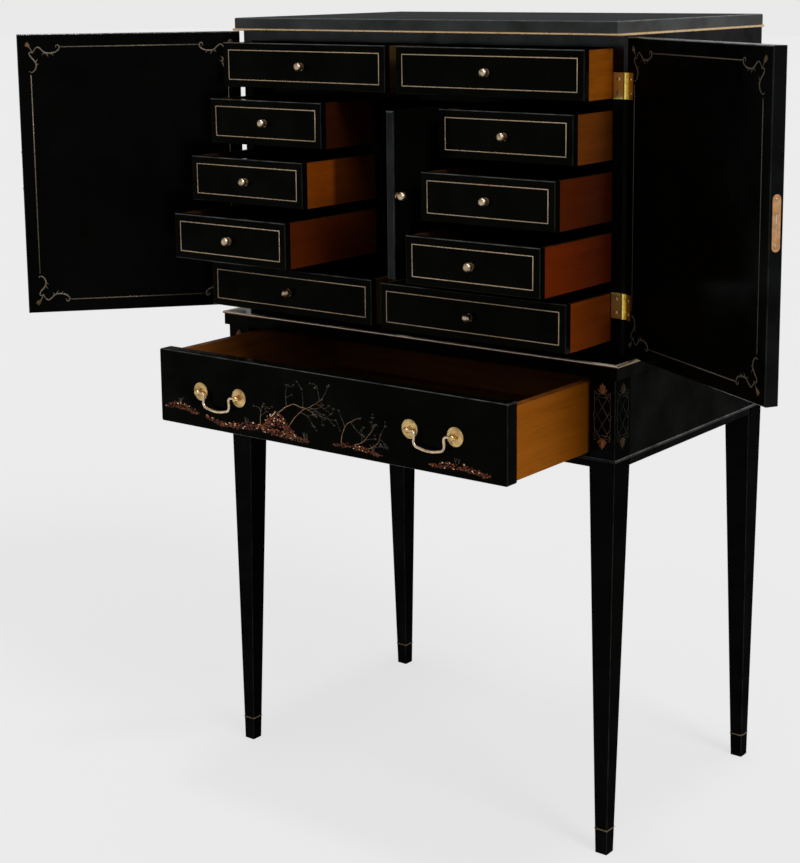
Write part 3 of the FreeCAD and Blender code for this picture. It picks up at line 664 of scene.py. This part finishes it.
def bead_material(stand_top):
    """Gilt beads: bright all over on the case; on the stand a painted highlight along the top,
    painted shade in red-brown below and duller painted shade along the sides."""
    material = gilt_material("bead_gilt", *BEAD_GILT)
    tree = material.node_tree
    shader = tree.nodes["Principled BSDF"]
    normal = split(coordinate(tree, "Normal"))
    # Painted highlight on the bead's faces that look up, painted shade below and along the sides
    highlight_upward = remap(normal["Z"], -0.1, 0.3, 0.0, 1.0)
    stand = mixed(highlight_upward, STAND_BEAD_SHADE, STAND_BEAD_HIGHLIGHT)
    sideways = remap(maths("ABSOLUTE", normal["X"]), 0.3, 0.6, 0.0, 1.0)
    stand = mixed(sideways, stand, STAND_BEAD_SIDE_SHADE)
    height = split(coordinate(tree, "Object"))["Z"]
    on_case = maths("GREATER_THAN", height, stand_top + CASE_BEADS_ABOVE)
    gilding = shader.inputs["Base Color"].links[0].from_socket
    set_inputs(shader, Base_Color=mixed(on_case, stand, gilding))
    return material


def brass_material(name, light, dark):
    """Old polished brass: warm, fine scratches, darker where it isn't handled."""
    material, tree, shader = material_tree(name)
    patina = noise(object_space(tree), PATINA, 5.0, 0.65)
    colour = ramp(patina, [(0.32, dark), (0.62, light)])
    roughness = remap(patina, 0.3, 0.75, 0.42, 0.24)
    scratches = noise(object_space(tree, SCRATCH_STRETCH), SCRATCHES, 3.0)
    bumped(shader, scratches, 0.08, 0.0002)
    set_inputs(shader, Base_Color=colour, Roughness=roughness, Metallic=1.0)
    return material


def grain(tree, length_axis, seed):
    """The long streaks and fine pores of a board whose grain runs along one axis."""
    scales = []
    for across, lengthways in (WOOD_STREAKS, WOOD_PORES):
        scales.append([lengthways if axis == length_axis else across for axis in "xyz"])
    streak_space = object_space(tree, scales[0], (seed, seed * 1.7, seed * 0.6))
    streaks = noise(streak_space, 1.0, 6.0, 0.62, 0.6)
    pores = noise(object_space(tree, scales[1]), 1.0, 2.0)
    return streaks, pores


def wood_material(name, tone, middle, seed, inside=SMALL_DRAWER_INSIDE, front=0.0, rear=NO_REAR_SHADOW):
    """Waxed drawer wood, golden or red by its tone outside and darker inside.

    The outside is what faces away from the drawer's middle plane. Toward the rear a painted shadow
    leaves only a share of its tone: rear holds the share, and where behind the front the change
    starts and ends. Sides have their grain along Y, other boards along X."""
    material, tree, shader = material_tree(name)
    facing = split(coordinate(tree, "Normal"))["X"]
    place = split(coordinate(tree, "Object"))
    is_side = maths("GREATER_THAN", maths("ABSOLUTE", facing), 0.5)
    away = maths("MULTIPLY", facing, maths("SUBTRACT", place["X"], middle))
    outside = maths("MULTIPLY", is_side, maths("GREATER_THAN", away, 0.0))
    along_x, along_y = grain(tree, "x", seed), grain(tree, "y", seed)
    streak, pore = (mixed(is_side, a, b, "FLOAT") for a, b in zip(along_x, along_y))
    rear_shadow_share, *reach = rear
    shares = ((0.28, 0.84), (0.5, 1.0), (0.72, 1.15))
    # The outside's tone, and a copy of it darkened by the painted shadow towards the rear
    unshadowed = ramp(streak, [(stop, scaled(tone, share)) for stop, share in shares])
    dim = ramp(streak, [(stop, scaled(tone, share * rear_shadow_share)) for stop, share in shares])
    behind = remap(place["Y"], *(front + distance for distance in reach), 0.0, 1.0)
    inside_tone = ramp(streak, [(0.3, scaled(inside, 0.6)), (0.7, scaled(inside, 1.4))])
    colour = mixed(outside, inside_tone, mixed(behind, unshadowed, dim))
    pore_mask = remap(pore, 0.36, 0.44, 0.22, 0.0)
    colour = mixed(pore_mask, colour, scaled(inside, 0.5))
    roughness = remap(streak, 0.3, 0.7, 0.55, 0.38)
    bumped(shader, pore, 0.15, 0.0003)
    set_inputs(shader, Base_Color=colour, Roughness=roughness, Specular_IOR_Level=WOOD_GLOSS)
    return material


def make_materials():
    made = {"bead_gilt": bead_material(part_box("stand_top")[1].z)}
    made["lacquer"] = lacquer_material("black_lacquer")
    made["front_lacquer"] = lacquer_material("front_lacquer", FRONT_GLOSS)
    made.update({name: gilt_material(name, *look) for name, look in GILDINGS.items()})
    made.update({name: brass_material(name, *look) for name, look in BRASSES.items()})
    return made


def dress_nodes():
    """Gives every CAD node its finish."""
    slots = {part["node"]: part["material_slot"] for part in frame["record"]["subparts"]}
    case_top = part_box("case_carcass")[1].z
    case_dim = [case_top + below for below in CASE_DIM]
    stand_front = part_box("stand_drawer_box")[0].y
    look = (STAND_DRAWER_TONE, 0.0, STAND_WOOD_SEED, STAND_DRAWER_INSIDE)
    special = {
        "lock_case": materials["copper"],
        "lock_strike": materials["copper"],
        "lock_bolt": materials["pale_brass"],
        "bail_posts": materials["rose_brass"],
        "bail_left": materials["bail_brass"],
        "bail_right": materials["bail_brass"],
        "gilt_beads": materials["bead_gilt"],
        "top_board": lacquer_material("top_lacquer", TOP_GLOSS, BLUISH, 0, TOP_LIGHT, TOP_PAINTED_REFLECTION),
        "case_carcass": lacquer_material("case_lacquer", CASE_GLOSS, BLUISH, dim_sides=case_dim),
        "drawer_runners": wood_material("runner_wood", HIDDEN_WOOD_TONE, 0.0, RUNNER_WOOD_SEED),
        "stand_drawer_box": wood_material("stand_wood", *look, stand_front, STAND_DRAWER_REAR_SHADOW),
    }
    for door, turn in DOOR_TURNS.items():
        gloss = CENTRE_DOOR_GLOSS if door == "centre_door" else DOOR_GLOSS
        special[door] = lacquer_material(door + "_lacquer", gloss, BLUISH, turn)
    leg_lacquer = lacquer_material("leg_lacquer", LEG_GLOSS, BLUISH)
    special.update({leg: leg_lacquer for leg in LEGS})
    for number, drawer in enumerate(DRAWERS):
        low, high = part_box("drawer_%s_box" % drawer)
        # Each drawer's tone, some with painted shade in it, and its painted shadow towards the rear
        middle, rear = (low.x + high.x) / 2, REAR_SHADOWS.get(drawer, NO_REAR_SHADOW)
        tone, seed = DRAWER_TONES_AND_SHADE[drawer], WOOD_SEED_STEP * number
        wood = wood_material("wood_" + drawer, tone, middle, seed, front=low.y, rear=rear)
        special["drawer_%s_box" % drawer] = wood
        special["drawer_%s_front" % drawer] = materials["front_lacquer"]
    for name, node in frame["nodes"].items():
        usual = "pale_brass" if name.endswith("_knob") else slots[name]
        node.data.materials.clear()
        node.data.materials.append(special.get(name) or materials[usual])


# Ornament: every motif is in millimetres on its own face


def tapered(count, thick, thin):
    """Half widths that swell from thin at both ends to thick in the middle."""
    return [thin + (thick - thin) * math.sin(math.pi * step / (count - 1)) for step in range(count)]


def corner_scroll(corner, inward):
    """A scrolled corner of the border: two curling arms, small leaves and a bud beyond it."""
    cx, cy = corner
    sx, sy = inward

    def along_x(points):
        return [(cx + sx * a, cy + sy * b) for a, b in points]

    def along_y(points):
        return [(cx + sx * b, cy + sy * a) for a, b in points]

    long_arm = [(4.2, 9.1), (5.5, 5.0), (11, -1.2), (17.5, 3.8), (22, 9.2), (31, 10), (40, 8)]
    long_arm += [(45.5, 3), (44.5, -3.2), (39, -2.4), (40, 1.2)]
    short_arm = [(9.1, 4.2), (6.2, -1.4), (13, -1.6), (21, 6.2), (27.5, 9.2), (35, 7.5)]
    short_arm += [(40.5, 1.2), (38.2, -1.8)]
    strokes = [
        Stroke(along_x(long_arm), tapered(len(long_arm), 1.25, 0.55)),
        Stroke(along_y(short_arm), tapered(len(short_arm), 1.25, 0.6)),
        Stroke(along_y([(38.2, -1.8), (37.6, -1.6)]), [1.7, 1.7]),
        Stroke(along_x([(40, 1.2), (40.6, 0.6)]), [1.2, 1.2]),
        Stroke(along_x([(24, 9), (26, 12), (27.7, 15.4)]), [0.9, 0.8, 0.2]),
        Stroke(along_x([(22, 8.6), (20, 10.6), (18, 12)]), [0.8, 0.6, 0.2]),
        Stroke(along_x([(31, 9.2), (33.5, 11), (35.5, 13.4)]), [0.8, 0.6, 0.2]),
        Stroke(along_y([(24, 7.6), (21, 9.6), (18.4, 11.4)]), [0.9, 0.7, 0.2]),
        Stroke(along_y([(28, 8.4), (27, 11), (25.4, 12.6)]), [0.8, 0.5, 0.2]),
        Stroke(along_x([(4.2, 9.1), (2.5, 5.5), (-0.5, 0.8)]), [0.6, 0.6, 0.8]),
    ]
    bud = [
        Stroke(along_x([(-0.5, 0.8), (-3.4, -2.6), (-6.8, -7.0)]), [0.8, 2.2, 0.3]),
        Stroke(along_x([(-0.5, 0.6), (-5.2, -0.9), (-8.2, -4.6)]), [0.8, 1.5, 0.3]),
        Stroke(along_x([(-0.2, 0.8), (-1.6, -4.6), (-4.8, -8.4)]), [0.8, 1.5, 0.3]),
    ]
    return strokes, bud


def door_border(face):
    """Straight lines joined by scrolled corners, on one face of a door."""
    a, b = (half - DOOR_LINE_INSET for half in face.half)
    x_gap, y_gap = DOOR_SCROLL_SPANS
    ends = [[(-a + x_gap, side * b), (a - x_gap, side * b)] for side in (-1, 1)]
    ends += [[(side * a, -b + y_gap), (side * a, b - y_gap)] for side in (-1, 1)]
    lines = [Stroke(pair, DOOR_LINE_RADIUS, straight=True) for pair in ends]
    buds = []
    for sx, sy in SQUARE:
        scroll, bud = corner_scroll((-sx * a, -sy * b), (sx, sy))
        lines += scroll
        buds += bud
    return lines, buds


def door_gilding(door):
    """Borders on both faces of a large door."""
    meshes = []
    for outward in (FRONT, REAR):
        face = Face(door, outward)
        lines, buds = door_border(face)
        meshes.append(gilded(lines, face.matrix(), materials[door + "_gilt"]))
        meshes.append(gilded(buds, face.matrix(), materials["bud_gilt"], BUD_FLATNESS))
    joined("gilding_" + door, meshes, door)


def drawer_gilding(name):
    face = Face("drawer_%s_front" % name, FRONT)
    a, b = (half - DRAWER_LINE_INSET for half in face.half)
    line = Stroke([(a * x, b * y) for x, y in SQUARE], closed=True)
    mesh = gilded([line], face.matrix(), materials["gilt"])
    joined("gilt_line_" + name, [mesh], "drawer_" + name)


def section(node, height):
    """The corners of the box round a node's section at a height, all in millimetres."""
    mesh = frame["nodes"][node].data
    places = []
    for edge in mesh.edges:
        a, b = (mesh.vertices[index].co / MM for index in edge.vertices)
        if (a.z - height) * (b.z - height) < 0:
            places.append(a.lerp(b, (height - a.z) / (b.z - a.z)))
    return np.min(places, axis=0), np.max(places, axis=0)


def leg_bands():
    """A thin gilt band round each leg, a little above the floor."""
    meshes = []
    for name in LEGS:
        low, high = section(name, LEG_BAND_HEIGHT)
        low, high = low + LEG_BAND_SINK, high - LEG_BAND_SINK
        ring = [(low[0], low[1]), (high[0], low[1]), (high[0], high[1]), (low[0], high[1])]
        stroke = Stroke(ring, LEG_BAND_RADIUS, closed=True)
        raise_it = Matrix.Translation((0, 0, LEG_BAND_HEIGHT * MM)) @ Matrix.Scale(MM, 4)
        meshes.append(gilded([stroke], raise_it, materials["band_gilt"], 1.0, FINE_SIDES))
    joined("leg_bands", meshes, "cabinet")


def fret_panel():
    """A tall panel of lattice in a stepped frame, with a leafy finial above and below."""
    w, h = FRET_HALF_WIDTH, FRET_HALF_HEIGHT
    quarter = [(0, h - 2), (w - 3.5, h - 2), (w - 2, h + 1), (w, h + 1), (w, h - 9)]
    quarter += [(w - 1, h - 12), (w, h - 16), (w, 4), (w + FRET_STEP, 2), (w + FRET_STEP, 0)]
    outline = quarter + [(x, -y) for x, y in reversed(quarter[:-1])]
    outline += [(-x, -y) for x, y in quarter[1:]] + [(-x, y) for x, y in reversed(quarter[1:-1])]
    thin = [Stroke(outline, FRET_LINE, closed=True)]
    reach = h - 2
    for direction in (-1, 1):
        offset = -2 * reach
        while offset < 2 * reach:
            ends = clipped(direction, offset, w - FRET_LINE, reach)
            if ends:
                thin.append(Stroke(ends, FRET_LINE * LATTICE_SHARE, straight=True))
            offset += LATTICE_PITCH
    for side in (-1, 1):
        bar = side * (h - 6)
        thin.append(Stroke([(4 - w, bar), (w - 4, bar)], FRET_LINE, straight=True))
    finial = []
    for side in (-1, 1):
        for motif, radii in FINIAL:
            for lean in (-1, 1) if any(x for x, _ in motif) else (1,):
                points = [(lean * x, side * (h - 1 + y)) for x, y in motif]
                finial.append(Stroke(points, radii))
    return thin, finial


def clipped(direction, offset, half_width, half_height):
    """The ends, inside a rectangle, of a slanting line that crosses its middle at the offset."""
    slope = LATTICE_SLOPE * direction
    places = [(x, slope * x + offset) for x in (-half_width, half_width)]
    places += [((y - offset) / slope, y) for y in (-half_height, half_height)]
    ends = [(x, y) for x, y in places if abs(x) <= half_width and abs(y) <= half_height]
    return ends if len(ends) == 2 else None


def fret_panels():
    """Fret panels on the fronts and outer sides of the stand's corners, those on the sides in painted
    shade.
    """
    low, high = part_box("stand_rails")
    height = (low.z + high.z) / 2 + FRET_ABOVE_MIDDLE * MM
    thin, finial = fret_panel()
    motifs = ((thin, "fret", FRET_FLATNESS), (finial, "finial", FINIAL_FLATNESS))
    stretch = Matrix.Diagonal((FRET_SIDE_STRETCH, 1, 1, 1))
    meshes = []
    for name in LEGS:
        low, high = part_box(name)
        middle = (low + high) / 2
        side, outer = (1, high.x) if name.endswith("right") else (-1, low.x)
        # The outer side panels take the dim gildings, as painted shade
        places = [("dim_", face_matrix((outer, middle.y, height), (side, 0, 0)) @ stretch)]
        if "front" in name:
            places.append(("", face_matrix((middle.x, low.y, height), FRONT)))
        for wear_and_painted_light, matrix in places:
            for strokes, motif, flatness in motifs:
                material = materials[wear_and_painted_light + motif + "_gilt"]
                meshes.append(gilded(strokes, matrix, material, flatness, FINE_SIDES))
    joined("fret_panels", meshes, "cabinet")


# The painted drawer front: pebbled banks with slender trees and reeds


def along(points, share):
    """The place a share of the way along a chain of points, and the heading there."""
    lengths = [math.dist(a, b) for a, b in zip(points, points[1:])]
    rest = share * sum(lengths)
    for (a, b), length in zip(zip(points, points[1:]), lengths):
        if rest <= length:
            break
        rest -= length
    step = min(rest / length, 1.0)
    heading = math.atan2(b[1] - a[1], b[0] - a[0])
    return a[0] + (b[0] - a[0]) * step, a[1] + (b[1] - a[1]) * step, heading


# Each layer of a bank: its gilding, dabs to a square millimetre, their least and greatest size, and
# how they crowd the crest
BANK_LAYERS = [
    ("red_gilt", 0.17, 0.9, 2.3, 0.8),
    ("orange_gilt", 0.05, 0.9, 1.7, 1.2),
    ("spark_gilt", 0.010, 1.1, 2.0, 1.5),
]
# Each bank: its ridge line, from the middle of the drawer's front, and its depth
BANKS = [
    ([(-312, -31), (-294, -23), (-268, -25), (-244, -34)], 9),
    ([(-228, -36), (-196, -41), (-160, -38), (-126, -33), (-98, -36), (-62, -40), (-24, -45)], 10),
    ([(-114, -36), (-103, -20), (-88, -10), (-74, -15), (-62, -28), (-50, -40)], 20),
    ([(20, -43), (48, -37), (82, -40), (108, -46)], 7),
    ([(194, -45), (222, -38), (252, -37), (294, -46)], 8),
]
# Each tree: its foot, heading in degrees, length and half width
TREES = [
    ((-84, -12), 58, 84, 0.9),
    ((-60, -26), 12, 78, 0.7),
    ((-118, -34), 112, 34, 0.6),
    ((36, -40), 96, 60, 0.7),
    ((60, -38), 48, 52, 0.6),
    ((84, -41), 24, 36, 0.5),
]
# Each tuft: its foot, how many reeds and how tall
REEDS = [
    ((-280, -24), 6, 12),
    ((-146, -37), 5, 12),
    ((-30, -45), 6, 16),
    ((96, -43), 5, 14),
    ((240, -37), 5, 11),
]
PAINTING_TOP = 40.0
PAINTING_BOTTOM = -46.0


def pebbled_bank(dice, ridge, depth, dabs):
    """Adds dabs on the ground below a ridge line, each to those of its own gilding."""
    length = sum(math.dist(a, b) for a, b in zip(ridge, ridge[1:]))
    for gilding, density, small, large, crowding in BANK_LAYERS:
        for _ in range(int(length * depth * density)):
            share = dice.random()
            x, z, heading = along(ridge, share)
            drop = depth * math.sin(math.pi * share) ** 0.4 * dice.random() ** crowding
            size = dice.uniform(small, large)
            place = (x + dice.uniform(-1.5, 1.5), z - drop + dice.uniform(-1.2, 1.2), 0.0)
            sizes = (size, size * DAB_WIDTH_SHARE, DAB_HEIGHT)
            dabs[gilding].append((place, sizes, heading + dice.uniform(-0.6, 0.6)))


def reeds(dice, foot, count, height):
    """A tuft of thin reeds that bend over."""
    strokes = []
    for _ in range(count):
        lean = dice.uniform(-0.7, 0.7)
        tall = height * dice.uniform(0.6, 1.0)
        start = (foot[0] + dice.uniform(-3, 3), foot[1])
        bend = (start[0] + lean * tall * 0.25, start[1] + tall * 0.65)
        tip = (start[0] + lean * tall * 0.75, start[1] + tall * dice.uniform(0.8, 1.0))
        strokes.append(Stroke([start, bend, tip], [0.45, 0.4, 0.15]))
    return strokes


def bough(dice, foot, heading, length, width, order=0):
    """A wavering branch with its side twigs: their strokes, and where the twigs end."""
    count = max(3, round(length / 7))
    x, z = foot
    points, strokes, tips = [foot], [], []
    for step in range(count):
        heading += dice.gauss(0, 0.32)
        climb = math.sin(heading)
        if z > PAINTING_TOP and climb > 0 or z < PAINTING_BOTTOM and climb < 0:
            heading = -heading
        x += math.cos(heading) * length / count
        z += math.sin(heading) * length / count
        points.append((x, z))
        if order < 2 and step > 0 and dice.random() < 0.5:
            turn = heading + dice.choice((-1, 1)) * dice.uniform(0.5, 1.1)
            reach = length * dice.uniform(0.3, 0.5)
            side_strokes, side_tips = bough(dice, (x, z), turn, reach, width * 0.6, order + 1)
            strokes += side_strokes
            tips += side_tips
    strokes.append(Stroke(points, [width * (1 - 0.7 * step / count) for step in range(count + 1)]))
    tips.append((x, z))
    return strokes, tips


def foliage(dice, middle, size):
    """A small pad of needles, fanned out from a twig's end."""
    strokes = []
    for _ in range(int(size * 1.4)):
        turn = dice.uniform(-0.3, math.pi + 0.3)
        reach = size * dice.uniform(0.5, 1.0)
        start = (middle[0] + dice.uniform(-0.4, 0.4) * size, middle[1] + dice.uniform(-0.8, 0.8))
        tip = (start[0] + math.cos(turn) * reach * 0.7, start[1] + math.sin(turn) * reach * 0.5)
        centre = ((start[0] + tip[0]) / 2, (start[1] + tip[1]) / 2 + 0.4)
        strokes.append(Stroke([start, centre, tip], [0.3, 0.35, 0.12]))
    return strokes


def frieze_painting():
    """The stand drawer's front: red and gold banks, with branches that thin out into needles."""
    dice = random.Random(PAINTING_SEED)
    matrix = Face("stand_drawer_front", FRONT).matrix()
    boughs, twigs, leaves = [], [], []
    for foot, heading, length, width in TREES:
        strokes, tips = bough(dice, foot, math.radians(heading), length, width)
        boughs.append(strokes[-1])
        twigs += strokes[:-1]
        for tip in tips:
            leaves += foliage(dice, tip, dice.uniform(3.0, 5.5))
    for foot, count, height in REEDS:
        leaves += reeds(dice, foot, count, height)
    dabs = {gilding: [] for gilding, *_ in BANK_LAYERS}
    for ridge, depth in BANKS:
        pebbled_bank(dice, ridge, depth, dabs)
    dab = shapes["dab"]
    meshes = [scattered(dab, spots, matrix, materials[gilding]) for gilding, spots in dabs.items()]
    meshes.append(gilded(boughs, matrix, materials["bough_gilt"], sides=FINE_SIDES))
    fine = twigs + leaves
    meshes.append(gilded(fine, matrix, materials["twig_gilt"], TWIG_FLATNESS, FINE_SIDES))
    joined("frieze_painting", meshes, "stand_drawer")


# Small fittings


def add_screws(name, body, dice, places, radius, matrix):
    """Slotted screw heads, each turned its own way."""
    spots = [(place, (radius, radius, radius), dice.uniform(0, math.pi)) for place in places]
    mesh = scattered(shapes["screw"], spots, matrix, materials["pale_brass"])
    joined(name, [mesh], body)


def leaf_screw_places(node, matrix):
    """Two screws in each leaf of a node's hinges, but for leaves too small to show theirs."""
    places = []
    for low, high in solid_boxes(node, matrix):
        height = high[1] - low[1]
        if height < SCREWED_LEAF_HEIGHT:
            continue
        inner, inward = (low[0], 1) if low[0] > 0 else (high[0], -1)
        for share in (SCREW_UP_THE_LEAF, 1 - SCREW_UP_THE_LEAF):
            across = inner + inward * SCREW_FROM_LEAF_EDGE
            places.append((across, low[1] + height * share, SCREW_PROUD))
    return places


def hinge_screws():
    dice = random.Random(HINGE_SCREW_SEED)
    case_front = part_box("case_carcass")[0].y
    holders = [("case", "cabinet", face_matrix((0, case_front, 0), FRONT))]
    holders += [(door, door, Face(door, FRONT).matrix()) for door in DOORS]
    for name, body, matrix in holders:
        places = leaf_screw_places(name + "_hinge_leaves", matrix)
        add_screws(name + "_hinge_screws", body, dice, places, HINGE_SCREW_RADIUS, matrix)


def lock_screws():
    """Two screws in the lock's plate and two in the strike."""
    dice = random.Random(LOCK_SCREW_SEED)
    for door, node in (("right_door", "lock_case"), ("left_door", "lock_strike")):
        face = Face(door, FRONT)
        low, high = solid_boxes(node, face.matrix())[0]
        edge_out = face.across if low[0] + high[0] > 0 else -face.across
        matrix = face_matrix(face.middle + edge_out * face.half[0] * MM, edge_out)
        low, high = solid_boxes(node, matrix)[0]
        heights = (low[1] + SCREW_FROM_PLATE_END, high[1] - SCREW_FROM_PLATE_END)
        places = [((low[0] + high[0]) / 2, height, SCREW_PROUD) for height in heights]
        add_screws(node + "_screws", door, dice, places, LOCK_SCREW_RADIUS, matrix)


# Floor, light and camera


def make_floor():
    """A pale matt floor that glows a little to the eye, so that it meets the backdrop softly."""
    size = FLOOR_SIZE / 2
    corners = [(x * size, y * size, 0) for x, y in SQUARE]
    floor = shape_object("floor", corners, [[0, 1, 2, 3]], False)
    material, tree, shader = material_tree("studio_floor")
    set_inputs(shader, Base_Color=(FLOOR_GREY,) * 3, Roughness=1.0, Specular_IOR_Level=0.0)
    rays = tree.nodes.new("ShaderNodeLightPath").outputs
    kinds = ("Camera", "Glossy", "Transmission")
    seen = maths("MAXIMUM", *(rays["Is %s Ray" % kind] for kind in kinds))
    strength = maths("MULTIPLY", seen, FLOOR_GLOW)
    glow = new_node(tree, "ShaderNodeEmission", Color=(1, 1, 1), Strength=strength)
    total = tree.nodes.new("ShaderNodeAddShader")
    plug(total.inputs[0], shader.outputs["BSDF"])
    plug(total.inputs[1], glow.outputs["Emission"])
    set_inputs(tree.nodes["Material Output"], Surface=total.outputs["Shader"])
    floor.data.materials.append(material)


def make_world():
    """An even pale backdrop, which polished surfaces see too, under a dimmer ceiling."""
    world = bpy.data.worlds.new("studio")
    world.use_nodes = True
    bpy.context.scene.world = world
    tree = world.node_tree
    rays = tree.nodes.new("ShaderNodeLightPath").outputs
    height = split(coordinate(tree, "Generated"))["Z"]
    grey = remap(height, 0.25, 0.7, BACKDROP_GREY, CEILING_GREY)
    glossy = maths("MAXIMUM", rays["Is Glossy Ray"], rays["Is Transmission Ray"])
    seen = mixed(glossy, (ROOM_LIGHT,) * 3, grey)
    colour = mixed(rays["Is Camera Ray"], seen, (BACKDROP_GREY,) * 3)
    set_inputs(tree.nodes["Background"], Color=colour)


def make_lamp(name, towards, angle, strength):
    lamp = bpy.data.lights.new(name, "SUN")
    lamp.angle = math.radians(angle)
    lamp.energy = strength
    holder = added(name, lamp)
    holder.rotation_euler = Vector(towards).to_track_quat("-Z", "Y").to_euler()


def make_camera():
    yaw, pitch, roll = (math.radians(angle) for angle in (CAMERA_YAW, CAMERA_PITCH, CAMERA_ROLL))
    level = Vector((math.cos(yaw), math.sin(yaw), 0))
    ahead = Vector((-math.sin(yaw), math.cos(yaw), 0))
    forward = ahead * math.cos(pitch) - Vector((0, 0, math.sin(pitch)))
    down = forward.cross(level)
    right = level * math.cos(roll) + down * math.sin(roll)
    up = level * math.sin(roll) - down * math.cos(roll)
    camera = bpy.data.cameras.new("camera")
    camera.lens = CAMERA_LENS
    camera.sensor_width = CAMERA_SENSOR
    camera.shift_y = CAMERA_SHIFT_Y
    camera.clip_end = CAMERA_REACH
    holder = added("camera", camera)
    turn = Matrix((right, up, -forward)).transposed().to_4x4()
    holder.matrix_world = Matrix.Translation(CAMERA_PLACE) @ turn
    bpy.context.scene.camera = holder


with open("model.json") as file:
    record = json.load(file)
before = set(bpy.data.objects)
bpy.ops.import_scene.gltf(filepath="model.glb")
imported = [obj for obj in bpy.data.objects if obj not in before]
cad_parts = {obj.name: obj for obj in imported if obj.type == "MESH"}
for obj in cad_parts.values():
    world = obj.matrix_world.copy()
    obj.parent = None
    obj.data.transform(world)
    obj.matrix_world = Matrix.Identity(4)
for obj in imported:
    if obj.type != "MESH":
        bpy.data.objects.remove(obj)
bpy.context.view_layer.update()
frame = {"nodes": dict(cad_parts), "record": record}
materials = make_materials()
trees = {"gilding": gilding_tree(), "scatter": scatter_tree()}
shapes = {"dab": dab_shape(), "screw": screw_shape()}

dress_nodes()
for drawer in DRAWERS:
    drawer_gilding(drawer)
for door in DOORS:
    door_gilding(door)
leg_bands()
fret_panels()
frieze_painting()
hinge_screws()
lock_screws()
for shape in shapes.values():
    bpy.data.objects.remove(shape)

make_floor()
make_world()
for name, lamp in LAMPS.items():
    make_lamp(name, *lamp)
make_camera()
bpy.context.scene.view_settings.view_transform = "Standard"
